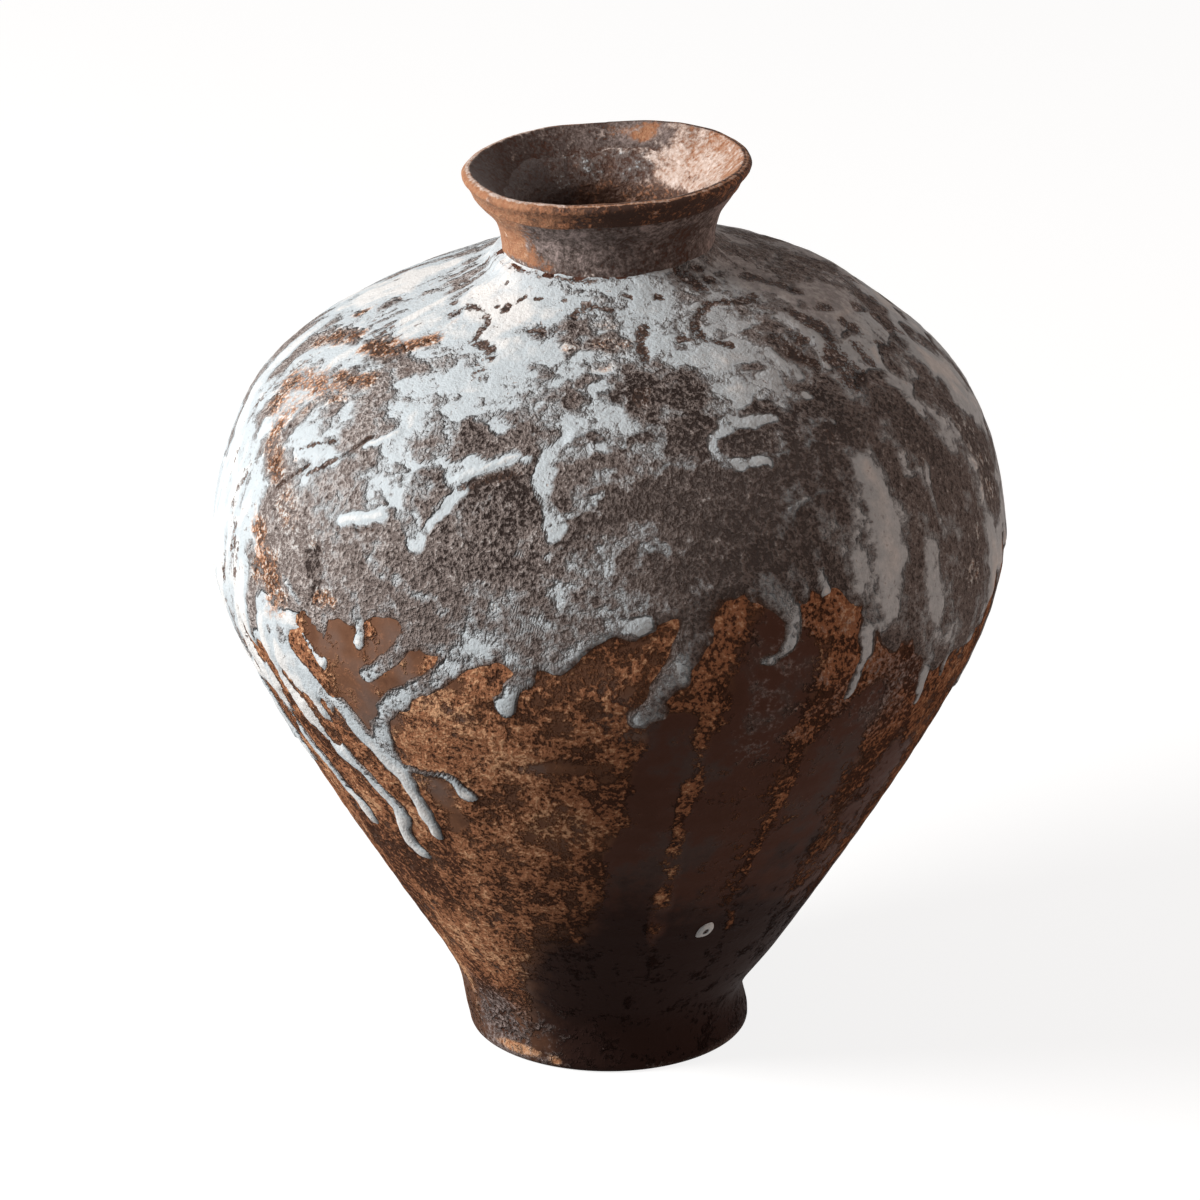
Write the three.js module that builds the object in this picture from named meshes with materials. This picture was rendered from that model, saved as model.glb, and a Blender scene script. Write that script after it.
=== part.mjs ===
// A hand-thrown stoneware flower vase: a wide-shouldered jar on a narrow foot, with a short flared neck.
// The clay is four thrown pieces luted together with slip. Each seam is a half-lap or a seated spigot.
// A thick ash glaze coats the shoulder and runs down the flanks, and a thin glaze lines the inside.
// Millimetres, +Z up, the origin at the centre of the foot's resting face, the front towards -Y.
import * as THREE from "three";

// Outer form of the clay
const OVERALL_HEIGHT = 300;
const BELLY_RADIUS = 128;
const BELLY_HEIGHT = 171;
const BELLY_FULLNESS = 29;
const FLANK_RISE_DEG = 57;
const FLANK_SWEEP = 36;
const SHOULDER_FULLNESS = 70;
const SHOULDER_SWEEP = 46;
const SHOULDER_SLOPE_DEG = 29.5;
const NECK_RADIUS = 33.8;
const NECK_HEIGHT = 28;
const NECK_STRAIGHT = 12;
const LIP_FLARE = 13;
const LIP_ROLL_WIDTH = 2.2;
const LIP_ROLL_HEIGHT = 1.8;
const LIP_UNDERCUT_DEG = 45;
const LIP_SWEEP = 9;
const FOOT_RADIUS = 44.5;
const FOOT_HEIGHT = 24;
const FOOT_EDGE_ROUND = 2.5;
const WAIST_RADIUS = 50;

// Hollow of the clay
const WALL = 6.5;
const NECK_WALL = 6;
const FLOOR = 9;
const FLOOR_FILLET = 5;
const THROAT_DEPTH = 20;
const FUNNEL_SWEEP = 8;
const FUNNEL_SLOPE_DEG = 40;
const FOOT_RING_WIDTH = 9;
const FOOT_TOP_WIDTH = 6;
const FOOT_RECESS = 8;
const FOOT_DRAFT = 1;

// Seams between the thrown pieces
const SLIP = 0.3;
const SEAM_HEIGHT = 160;
const SEAM_LAP = 5;

// Glaze
const COAT = 1.2;
const COAT_EDGE_HEIGHT = 180;
const COAT_EDGE_TILT = 6;
const COAT_EDGE_WAVE = 4;
const LINER = 0.8;
const LINER_BELOW_LIP = 3;
const RUN_CROWN = 1.8;
const RUN_DROP = 88;
const RUN_WIDTH = 11;
const SPLASH_RADIUS = 3.4;
const SPLASH_CROWN = 1.1;
const SPLASH_HEIGHT = 63;
const SPLASH_AZIMUTH_DEG = 24;

// The hand-thrown lean of the upper half, towards -X
const LEAN_DEG = 2.6;
const LEAN_SHIFT = -1.2;
const LEAN_START = 128;
const LEAN_END = 245;

// Fineness of the facets
const SEGMENTS = 44;
const FLANK_STEPS = 7;
const SHOULDER_STEPS = 11;
const CURVE_STEPS = 5;
const RUN_STATIONS = 9;

// Each run of glaze: where it leaves the coat and where its tip lies, as azimuths from the front towards +X,
// then how far the tip hangs below the coat's edge and its width, as shares of the longest and the broadest run
const RUNS = [
  { name: "glaze_run_left_thin", leaves: -66, tip: -51.5, drop: 0.93, width: 0.4 },
  { name: "glaze_run_left_long", leaves: -57, tip: -41, drop: 1, width: 0.55 },
  { name: "glaze_run_left_forked", leaves: -50, tip: -34.5, drop: 0.88, width: 0.5 },
  { name: "glaze_run_left_short", leaves: -21, tip: -36, drop: 0.45, width: 0.5 },
  { name: "glaze_run_left_bead", leaves: -31.5, tip: -31, drop: 0.18, width: 0.45 },
  { name: "glaze_run_front_bead", leaves: -12.5, tip: -14.5, drop: 0.23, width: 0.64 },
  { name: "glaze_run_front_broad", leaves: 9, tip: 4.5, drop: 0.41, width: 1 },
  { name: "glaze_run_right_stub", leaves: 25, tip: 24.5, drop: 0.15, width: 0.82 },
  { name: "glaze_run_right_long", leaves: 40, tip: 37, drop: 0.3, width: 0.9 },
  { name: "glaze_run_right_thin", leaves: 53, tip: 54, drop: 0.41, width: 0.45 },
  { name: "glaze_run_right_side", leaves: 78, tip: 76, drop: 0.5, width: 0.64 },
  { name: "glaze_run_back_right", leaves: 112, tip: 115, drop: 0.73, width: 0.64 },
  { name: "glaze_run_back_broad", leaves: 146, tip: 143, drop: 0.45, width: 0.9 },
  { name: "glaze_run_back_long", leaves: 177, tip: 180, drop: 0.84, width: 0.55 },
  { name: "glaze_run_back_left", leaves: -146, tip: -143, drop: 0.52, width: 0.73 },
  { name: "glaze_run_left_back", leaves: -108, tip: -111, drop: 0.75, width: 0.6 },
  { name: "glaze_run_left_side", leaves: -76, tip: -71, drop: 0.66, width: 0.55 },
];

const radians = THREE.MathUtils.degToRad;
const point = (radius, height) => new THREE.Vector2(radius, height);
const heading = (degrees) => point(Math.cos(radians(degrees)), Math.sin(radians(degrees)));

// The outline climbs the flank from the waist to the belly, then the shoulder from the belly to the neck
const creaseHeight = OVERALL_HEIGHT - NECK_HEIGHT;
const waist = point(WAIST_RADIUS, FOOT_HEIGHT);
const belly = point(BELLY_RADIUS, BELLY_HEIGHT);
const crease = point(NECK_RADIUS, creaseHeight);
const outline = new THREE.CurvePath();
outline.add(
  new THREE.CubicBezierCurve(
    waist,
    waist.clone().addScaledVector(heading(FLANK_RISE_DEG), FLANK_SWEEP),
    point(BELLY_RADIUS, BELLY_HEIGHT - BELLY_FULLNESS),
    belly,
  ),
);
outline.add(
  new THREE.CubicBezierCurve(
    belly,
    point(BELLY_RADIUS, BELLY_HEIGHT + SHOULDER_FULLNESS),
    crease.clone().addScaledVector(heading(-SHOULDER_SLOPE_DEG), SHOULDER_SWEEP),
    crease,
  ),
);
const outlineLength = outline.getLength();

// A point of the wall, at a share of the way up the outline and a depth inside its outer face.
// Past a share of 1 the shoulder goes on straight, under the neck.
function wallPoint(share, depth) {
  const inside = Math.min(share, 1);
  const along = outline.getTangentAt(inside);
  const face = outline.getPointAt(inside).addScaledVector(along, (share - inside) * outlineLength);
  return point(face.x - along.y * depth, face.y + along.x * depth);
}

// The share between two others at which a falling measure reaches zero
function shareWhere(measure, low, high) {
  const middle = (low + high) / 2;
  if (high - low < 1e-7) {
    return middle;
  }
  return measure(middle) > 0 ? shareWhere(measure, middle, high) : shareWhere(measure, low, middle);
}

const shareAtHeight = (height, depth = 0) => shareWhere((s) => height - wallPoint(s, depth).y, 0, 1);
const bellyShare = shareAtHeight(BELLY_HEIGHT);
const SHOULDER_REACH = 1.3;
const shoulderAtRadius = (radius, depth) =>
  wallPoint(shareWhere((s) => wallPoint(s, depth).x - radius, bellyShare, SHOULDER_REACH), depth);

const steps = (from, to, count) => Array.from({ length: count + 1 }, (_, i) => from + ((to - from) * i) / count);

// Shares at which the flank and the shoulder have a ring of vertices, on both faces of the wall
const seam = shareAtHeight(SEAM_HEIGHT);
const lap = SEAM_LAP / outlineLength;
const slipShare = SLIP / outlineLength;
const waistShare = shareAtHeight(FOOT_HEIGHT + SLIP);
const flankShares = steps(waistShare, seam, FLANK_STEPS);
const shoulderShares = steps(seam + slipShare, 1, SHOULDER_STEPS);

// The hollow: floor, boss inside the foot ring, flank, shoulder, throat and funnel
const ringBore = WAIST_RADIUS - FOOT_TOP_WIDTH;
const bossRadius = ringBore - SLIP;
const hollowRadius = bossRadius - WALL;
const floorUnder = FOOT_RECESS + SLIP;
const floorTop = floorUnder + FLOOR;
const holeRadius = NECK_RADIUS - NECK_WALL / 2;
const throatRadius = NECK_RADIUS - NECK_WALL;
const lipCentre = point(NECK_RADIUS + LIP_FLARE - LIP_ROLL_WIDTH, OVERALL_HEIGHT - LIP_ROLL_HEIGHT);
const crest = point(lipCentre.x, OVERALL_HEIGHT);
const throatTop = point(throatRadius, OVERALL_HEIGHT - THROAT_DEPTH);

const floorCorner = new THREE.QuadraticBezierCurve(
  point(hollowRadius - FLOOR_FILLET, floorTop),
  point(hollowRadius, floorTop),
  point(hollowRadius, floorTop + FLOOR_FILLET),
);
const hollowShare = shareAtHeight(floorTop + FLOOR_FILLET + WALL * 2, WALL);
const innerFlank = (from, to) => steps(from, to, FLANK_STEPS - 2).map((s) => wallPoint(s, WALL));
const hollowFloor = [point(0, floorTop), ...floorCorner.getPoints(2)];
const lowerHollow = [...hollowFloor, ...innerFlank(hollowShare, seam + lap)];
const shoulderEnd = shareWhere((s) => wallPoint(s, WALL).x - holeRadius, bellyShare, SHOULDER_REACH);
const upperHollow = steps(seam + lap + slipShare, shoulderEnd, SHOULDER_STEPS - 3).map((s) => wallPoint(s, WALL));
const funnel = new THREE.CubicBezierCurve(
  throatTop,
  throatTop.clone().add(point(0, FUNNEL_SWEEP)),
  crest.clone().addScaledVector(heading(FUNNEL_SLOPE_DEG), -FUNNEL_SWEEP),
  crest,
);

// Profiles of the four clay pieces, each closed on itself or on the axis, with the outside on the right
// The side of the foot rises upright and turns out to meet the flank without a corner
function footRingProfile() {
  const foot = point(FOOT_RADIUS, FOOT_EDGE_ROUND);
  const edge = new THREE.QuadraticBezierCurve(point(FOOT_RADIUS - FOOT_EDGE_ROUND, 0), point(FOOT_RADIUS, 0), foot);
  const turnOut = (WAIST_RADIUS - FOOT_RADIUS) * Math.tan(radians(FLANK_RISE_DEG));
  const side = new THREE.QuadraticBezierCurve(foot, point(FOOT_RADIUS, FOOT_HEIGHT - turnOut), waist);
  const recessRadius = FOOT_RADIUS - FOOT_RING_WIDTH;
  return [
    ...edge.getPoints(3),
    ...side.getPoints(CURVE_STEPS).slice(1),
    point(ringBore, FOOT_HEIGHT),
    point(ringBore, FOOT_RECESS),
    point(recessRadius, FOOT_RECESS),
    point(recessRadius + FOOT_DRAFT, 0),
    point(FOOT_RADIUS - FOOT_EDGE_ROUND, 0),
  ];
}

function lowerBodyProfile() {
  return [
    point(0, floorUnder),
    point(bossRadius, floorUnder),
    point(bossRadius, FOOT_HEIGHT + SLIP),
    ...flankShares.map((s) => wallPoint(s, 0)),
    wallPoint(seam, WALL / 2),
    wallPoint(seam + lap, WALL / 2),
    ...lowerHollow.slice().reverse(),
  ];
}

function upperBodyProfile() {
  const tongueTop = seam + lap + slipShare;
  const lapDepth = WALL / 2 - SLIP;
  return [
    ...shoulderShares.map((s) => wallPoint(s, 0)),
    shoulderAtRadius(holeRadius, 0),
    ...upperHollow.slice().reverse(),
    wallPoint(tongueTop, lapDepth),
    wallPoint(seam + slipShare, lapDepth),
    wallPoint(seam + slipShare, 0),
  ];
}

function neckCollarProfile() {
  const base = shoulderAtRadius(NECK_RADIUS, -SLIP);
  const rollAngles = steps(-LIP_UNDERCUT_DEG, 90, CURVE_STEPS);
  const roll = rollAngles.map((degrees) => {
    const out = heading(degrees);
    return point(lipCentre.x + LIP_ROLL_WIDTH * out.x, lipCentre.y + LIP_ROLL_HEIGHT * out.y);
  });
  const side = new THREE.CubicBezierCurve(
    base,
    base.clone().add(point(0, NECK_STRAIGHT)),
    roll[0].clone().addScaledVector(heading(90 - LIP_UNDERCUT_DEG), -LIP_SWEEP),
    roll[0],
  );
  return [
    ...side.getPoints(CURVE_STEPS),
    ...roll.slice(1),
    ...funnel.getPoints(CURVE_STEPS).reverse().slice(1),
    shoulderAtRadius(throatRadius, WALL),
    shoulderAtRadius(holeRadius - SLIP, WALL),
    shoulderAtRadius(holeRadius - SLIP, -SLIP),
    base,
  ];
}

// A path moved sideways, to the left of its travel, with its corners mitred
function offsetPath(path, distance) {
  return path.map((at, i) => {
    const before = path[Math.max(i - 1, 0)];
    const after = path[Math.min(i + 1, path.length - 1)];
    const arriving = at.clone().sub(before).normalize();
    const leaving = after.clone().sub(at).normalize();
    const along = arriving.clone().add(leaving).normalize();
    const squareTo = i === 0 ? leaving : arriving;
    const mitre = distance / Math.max(along.dot(i === 0 || i === path.length - 1 ? along : squareTo), 0.5);
    return i === 0 ? point(0, at.y + distance) : point(at.x - along.y * mitre, at.y + along.x * mitre);
  });
}

// The liner follows the whole hollow, from the middle of the floor to just under the lip
function linerProfile() {
  const linedFunnel = funnel.getPoints(CURVE_STEPS * 2).filter((p) => p.y <= OVERALL_HEIGHT - LINER_BELOW_LIP);
  const hollow = [
    ...lowerHollow,
    ...upperHollow.slice(1, -1),
    shoulderAtRadius(throatRadius, WALL),
    ...linedFunnel.filter((_, i) => i % 2 === 0),
  ];
  return [...offsetPath(hollow, SLIP), ...offsetPath(hollow, SLIP + LINER).reverse()];
}

// The upper half leans as it was left on the wheel: its rings tilt and drift a little to one side
function lean(geometry) {
  const at = geometry.getAttribute("position");
  for (let i = 0; i < at.count; i++) {
    const share = THREE.MathUtils.smoothstep(at.getZ(i), LEAN_START, LEAN_END);
    at.setZ(i, at.getZ(i) + at.getX(i) * Math.tan(radians(LEAN_DEG)) * share);
    at.setX(i, at.getX(i) + LEAN_SHIFT * share);
  }
  return geometry;
}

const turned = (profile) => lean(new THREE.LatheGeometry(profile, SEGMENTS).rotateX(Math.PI / 2));

// A place on the flank or shoulder at an azimuth, a share of the outline and a height off the clay
function onClay(azimuth, share, off) {
  const at = wallPoint(share, -off);
  return new THREE.Vector3(at.x * Math.sin(azimuth), -at.x * Math.cos(azimuth), at.y);
}

// A solid through closed loops of points: a closed ring of loops, or a row from a flat end to a pointed tip
function loft(loops, tip) {
  const size = loops[0].length;
  const vertices = loops.flat();
  const faces = [];
  const rows = tip ? loops.length - 1 : loops.length;
  for (let row = 0; row < rows; row++) {
    const next = (row + 1) % loops.length;
    for (let i = 0; i < size; i++) {
      const j = (i + 1) % size;
      const corners = [row * size + i, row * size + j, next * size + j, next * size + i];
      faces.push(corners[0], corners[1], corners[2], corners[0], corners[2], corners[3]);
    }
  }
  if (tip) {
    const last = (loops.length - 1) * size;
    vertices.push(tip);
    for (let i = 0; i < size; i++) {
      faces.push(last + i, last + ((i + 1) % size), vertices.length - 1);
    }
    for (let i = 1; i < size - 1; i++) {
      faces.push(0, i + 1, i);
    }
  }
  const geometry = new THREE.BufferGeometry().setFromPoints(vertices).setIndex(faces);
  geometry.computeVertexNormals();
  return lean(geometry);
}

// The coat of ash glaze ends below in an edge that tilts and waves round the vase
function coatEdge(azimuth) {
  const tilt = COAT_EDGE_TILT * Math.cos(azimuth - radians(10));
  const wave = COAT_EDGE_WAVE * Math.cos(4 * (azimuth - radians(12)));
  return shareAtHeight(COAT_EDGE_HEIGHT + tilt + wave);
}

// Its rings of vertices lie over those of the clay, and crowd together above the edge where the edge is higher
function shoulderGlaze() {
  const azimuths = steps(0, 2 * Math.PI, SEGMENTS).slice(0, SEGMENTS);
  const lowest = Math.min(...azimuths.map(coatEdge));
  const rings = [...flankShares, ...shoulderShares.slice(1, -1)].filter((s) => s > lowest);
  const loops = azimuths.map((azimuth) => {
    const edge = coatEdge(azimuth);
    const followed = rings.map((s, i) => Math.max(s, edge + (i + 1) * COAT / outlineLength));
    const shares = [edge, ...followed, 1 - 2 * slipShare];
    const outside = shares.map((s) => onClay(azimuth, s, SLIP + COAT));
    const inside = shares.map((s) => onClay(azimuth, s, SLIP));
    return [...outside, ...inside.reverse()];
  });
  return loft(loops.reverse());
}

// A run is a rounded ridge that leaves the coat's edge, drifts sideways and ends in a fuller, rounded tip
function glazeRun(run) {
  const { leaves, tip } = run;
  const drop = run.drop * RUN_DROP;
  const width = run.width * RUN_WIDTH;
  const reach = width / 2 / BELLY_RADIUS;
  const edges = [-1, 0, 1].map((side) => coatEdge(radians(leaves) + side * reach));
  const top = Math.min(...edges) - 2 * slipShare;
  const bottom = shareAtHeight(wallPoint(top, 0).y - drop);
  const across = [1, 0.5, 0, -0.5, -1];
  const along = (t) => {
    const drift = THREE.MathUtils.smootherstep(t, 0, 1);
    return { azimuth: radians(leaves + (tip - leaves) * drift), share: top + (bottom - top) * t };
  };
  const tipLength = Math.min(0.5, width / drop);
  const loops = steps(0, 1, RUN_STATIONS).map((step) => {
    const t = step * (1 - tipLength * 0.1);
    const { azimuth, share } = along(t);
    const intoTip = Math.max(0, (t - (1 - tipLength)) / tipLength);
    const roundness = Math.sqrt(1 - intoTip * intoTip);
    const half = ((width / 2) * roundness) / wallPoint(share, 0).x;
    const crown = (COAT + (RUN_CROWN - COAT) * t) * roundness;
    const ridge = across.map((a) => onClay(azimuth + a * half, share, SLIP + crown * (1 - a * a)));
    return [...ridge, onClay(azimuth, share, SLIP)];
  });
  const end = along(1);
  return loft(loops, onClay(end.azimuth, end.share, SLIP));
}

// A splash of pale glaze stands by itself low on the flank, square to the clay
function glazeSplash() {
  const share = shareAtHeight(SPLASH_HEIGHT);
  const rim = steps(0, 90, CURVE_STEPS).map((degrees) => {
    const out = heading(degrees);
    return point(SPLASH_RADIUS * out.x, SPLASH_CROWN * out.y);
  });
  rim[rim.length - 1].x = 0;
  const dome = new THREE.LatheGeometry([point(0, 0), ...rim], SEGMENTS / 4);
  const azimuth = radians(SPLASH_AZIMUTH_DEG);
  const seat = onClay(azimuth, share, SLIP);
  const outward = onClay(azimuth, share, SLIP + 1).sub(seat).normalize();
  const turn = new THREE.Quaternion().setFromUnitVectors(new THREE.Vector3(0, 1, 0), outward);
  return lean(dome.applyQuaternion(turn).translate(seat.x, seat.y, seat.z));
}

const finish = (color, roughness) => new THREE.MeshStandardMaterial({ color, roughness, metalness: 0 });
const darkClay = () => finish(0x3a241b, 0.62);
const rustClay = () => finish(0x5a3826, 0.8);
const neckClay = () => finish(0x5e4a40, 0.7);
const ashGlaze = () => finish(0x9c9a98, 0.55);
const linerGlaze = () => finish(0x4a352b, 0.45);

const vase = new THREE.Group();
function add(name, geometry, material) {
  const mesh = new THREE.Mesh(geometry, material);
  mesh.name = name;
  vase.add(mesh);
}

add("foot_ring", turned(footRingProfile()), darkClay());
add("lower_body", turned(lowerBodyProfile()), rustClay());
add("upper_body", turned(upperBodyProfile()), rustClay());
add("neck_collar", turned(neckCollarProfile()), neckClay());
add("liner_glaze", turned(linerProfile()), linerGlaze());
add("shoulder_glaze", shoulderGlaze(), ashGlaze());
RUNS.forEach((run) => add(run.name, glazeRun(run), ashGlaze()));
add("glaze_splash", glazeSplash(), ashGlaze());

export default vase;
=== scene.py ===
"""A hand-thrown stoneware flower vase whose pale ash glaze has run, dressed over its packed solids."""

import itertools
import math
from collections import namedtuple

import bpy
import numpy as np
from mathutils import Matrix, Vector


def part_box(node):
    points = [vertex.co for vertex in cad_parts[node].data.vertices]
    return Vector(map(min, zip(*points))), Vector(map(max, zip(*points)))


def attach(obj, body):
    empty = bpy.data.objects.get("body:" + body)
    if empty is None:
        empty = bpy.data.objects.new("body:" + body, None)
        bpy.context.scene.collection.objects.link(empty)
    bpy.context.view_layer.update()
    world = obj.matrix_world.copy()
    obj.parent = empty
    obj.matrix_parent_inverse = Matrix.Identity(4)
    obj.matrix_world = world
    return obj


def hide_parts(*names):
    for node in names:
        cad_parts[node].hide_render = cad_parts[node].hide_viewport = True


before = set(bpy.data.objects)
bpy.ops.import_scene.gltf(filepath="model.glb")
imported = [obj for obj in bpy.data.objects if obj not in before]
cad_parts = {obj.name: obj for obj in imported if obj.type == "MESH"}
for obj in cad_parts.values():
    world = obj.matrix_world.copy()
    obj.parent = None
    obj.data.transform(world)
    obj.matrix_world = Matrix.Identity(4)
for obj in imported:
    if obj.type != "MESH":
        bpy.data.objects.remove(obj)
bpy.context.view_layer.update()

bl_info = {
    "name": "Stoneware Vase",
    "version": (1, 0, 0),
    "blender": (4, 5, 0),
    "location": "View3D > Sidebar > Vase",
    "description": "Makes a thrown stoneware vase with a run ash glaze over its packed solids",
    "category": "Object",
}

MM = 0.001
ROOT = "root"

# A run or stroke of glaze on the wall: places as (azimuth, height), with the azimuth in degrees
# from the front towards +X and the height in mm, then its width where it starts and at its tip
# and its height off the clay, all in mm, and how pale it is where it starts and at its tip
Run = namedtuple("Run", "places start tip crown white tip_white", defaults=(0.46, 1.2))
# A mark on the wall: places as above, half its width in mm and how strongly it shows
Mark = namedtuple("Mark", "places reach strength")
# A place where the thrower's hand pushed the wall in or out:
# azimuth, height, spread in degrees and mm, and push in mm
Push = namedtuple("Push", "azimuth height spread_deg spread_mm out")

HAND_PUSHES = (
    Push(-90, 232, 50, 17, 4.2),
    Push(-90, 264, 50, 9, -5.8),
    Push(90, 238, 50, 20, -1.6),
    Push(90, 257, 50, 9, 6.6),
    Push(90, 269, 50, 5, -2.4),
    Push(-90, 11, 55, 15, 3.0),
    Push(90, 22, 55, 8, -1.2),
    Push(90, 14, 50, 6, -1.3),
    Push(80, 4, 32, 6, 1.4),
    Push(-8, 145.5, 14, 1.6, 0.5),
    Push(150, 205, 45, 30, -1.4),
    Push(-150, 120, 50, 30, 0.9),
)

# Lower edge of the coat round the vase, as (azimuth, height in mm)
COAT_EDGE = (
    (-180, 172), (-165, 181), (-150, 170), (-135, 178), (-120, 184), (-105, 166), (-92, 150), (-80, 139),
    (-70, 135), (-62, 134), (-55, 135), (-50, 137), (-46.5, 143), (-44.4, 154), (-43.4, 184), (-41, 185),
    (-38, 185), (-34, 188), (-30.5, 187), (-27.5, 180), (-22, 179), (-16, 179), (-11, 174), (-6, 175),
    (-3.5, 181), (0, 187), (4, 187), (7, 191), (11, 193), (15, 199), (20, 195), (24, 195), (28, 193),
    (31, 191), (34, 194), (38, 186), (46, 171), (54, 157), (62, 153), (70, 161), (80, 176), (92, 170),
    (105, 182), (120, 175), (135, 184), (150, 176), (165, 180),
)

GLAZE_RUNS = (
    Run(((-70, 160), (-65, 144), (-62, 125), (-56, 112), (-51.7, 97)), 11.0, 3.8, 1.4, 0.95),
    Run(
        ((-60, 162), (-55, 143), (-50, 128), (-43, 118), (-40.5, 108), (-42.5, 95), (-41, 90)),
        12.0, 5.2, 1.8, 0.95,
    ),
    Run(
        ((-51, 168), (-46, 157), (-42, 146), (-38.8, 135), (-34.8, 128), (-34.5, 117), (-33.7, 103)),
        14.0, 5.0, 1.7, 0.75,
    ),
    Run(((-80, 160), (-74, 142), (-69, 124), (-66, 112)), 12.0, 3.6, 1.4, 0.95),
    Run(((-36, 130), (-31, 132), (-27, 131), (-23.6, 124)), 5.0, 5.2, 1.5, 0.55),
    Run(
        ((-16, 183), (-22, 177), (-29, 163), (-34, 153), (-37, 145), (-36.4, 138), (-35, 130)),
        8.0, 6.4, 0.8, 0.56, 0.80,
    ),
    Run(((-38.5, 191), (-37.2, 177)), 6.0, 4.6, 1.1),
    Run(((-22, 188), (-28.5, 182), (-32.5, 174), (-35.3, 168), (-36.2, 165)), 8.0, 4.2, 0.6, 0.05, 0.85),
    Run(((-49, 176), (-45, 165)), 6.0, 4.6, 1.0, 0.8),
    Run(((-10, 181), (-12.4, 171.5), (-14.6, 164.8)), 5.0, 6.2, 1.1, 0.4, 0.95),
    Run(((0.5, 192), (4.6, 190)), 7.5, 7.5, 1.0, 0.6, 0.9),
    Run(((13, 201), (11.5, 188), (10, 178), (6.4, 166), (4.6, 159.5)), 13.0, 8.5, 0.7, 0.34, 0.66),
    Run(((22, 200), (26.2, 192), (27.0, 184), (25.6, 178.6), (22.4, 176)), 12.0, 3.6, 0.7, 0.5, 0.8),
    Run(((31.5, 204), (32.6, 193)), 7.0, 4.0, 0.9),
    Run(((45, 221), (43, 206), (41, 192), (38.4, 174), (36.2, 159)), 22.0, 3.6, 0.8, 0.6, 0.9),
    Run(((50, 180), (51, 168), (53.8, 145)), 8.0, 3.2, 0.8, 0.5, 0.85),
    Run(((57, 178), (57.6, 163), (59, 150)), 10.0, 3.2, 0.8, 0.5, 0.85),
    Run(((78, 176), (77, 152), (76, 132)), 8.0, 4.0, 0.8),
    Run(((112, 184), (113, 146), (115, 118)), 8.0, 5.2, 1.7),
    Run(((121, 178), (122, 160)), 6.0, 5.0, 1.4),
    Run(((146, 184), (144, 160), (143, 142)), 12.0, 6.5, 1.6),
    Run(((177, 178), (178, 140), (180, 105)), 7.5, 5.0, 1.8),
    Run(((-168, 182), (-167, 158)), 6.0, 5.0, 1.4),
    Run(((-146, 178), (-144, 152), (-143, 130)), 9.0, 5.6, 1.6),
    Run(((-128, 182), (-127, 164)), 6.0, 5.0, 1.4),
    Run(((-108, 178), (-110, 140), (-111, 112)), 7.5, 5.0, 1.7),
    Run(((-90, 180), (-88, 152)), 6.0, 4.6, 1.4),
    Run(((-76, 176), (-73, 140), (-71, 118)), 6.5, 4.6, 1.5),
)

# Slits between the runs of the left side, where the clay shows
GLAZE_GAPS = (
    Mark(((-61, 158), (-59.5, 150), (-58.3, 143)), 3.0, 1.0),
    Mark(((-59.6, 141), (-57, 134), (-55, 126)), 2.9, 1.0),
    Mark(((-51.6, 146), (-49.6, 132)), 2.3, 1.0),
    Mark(((-50, 169), (-46, 161), (-44, 156)), 2.9, 1.0),
    Mark(((-66, 162), (-63.5, 154)), 1.6, 0.9),
    Mark(((-70, 150), (-66.5, 138), (-64, 128)), 2.9, 1.0),
    Mark(((-79, 158), (-74, 142)), 2.2, 0.9),
    Mark(((-48.5, 178), (-45, 171)), 2.6, 1.0),
    Mark(((-55.5, 153), (-53.5, 147)), 1.5, 0.8),
    Mark(((-47.6, 148), (-46.4, 141)), 1.4, 0.8),
)

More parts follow.
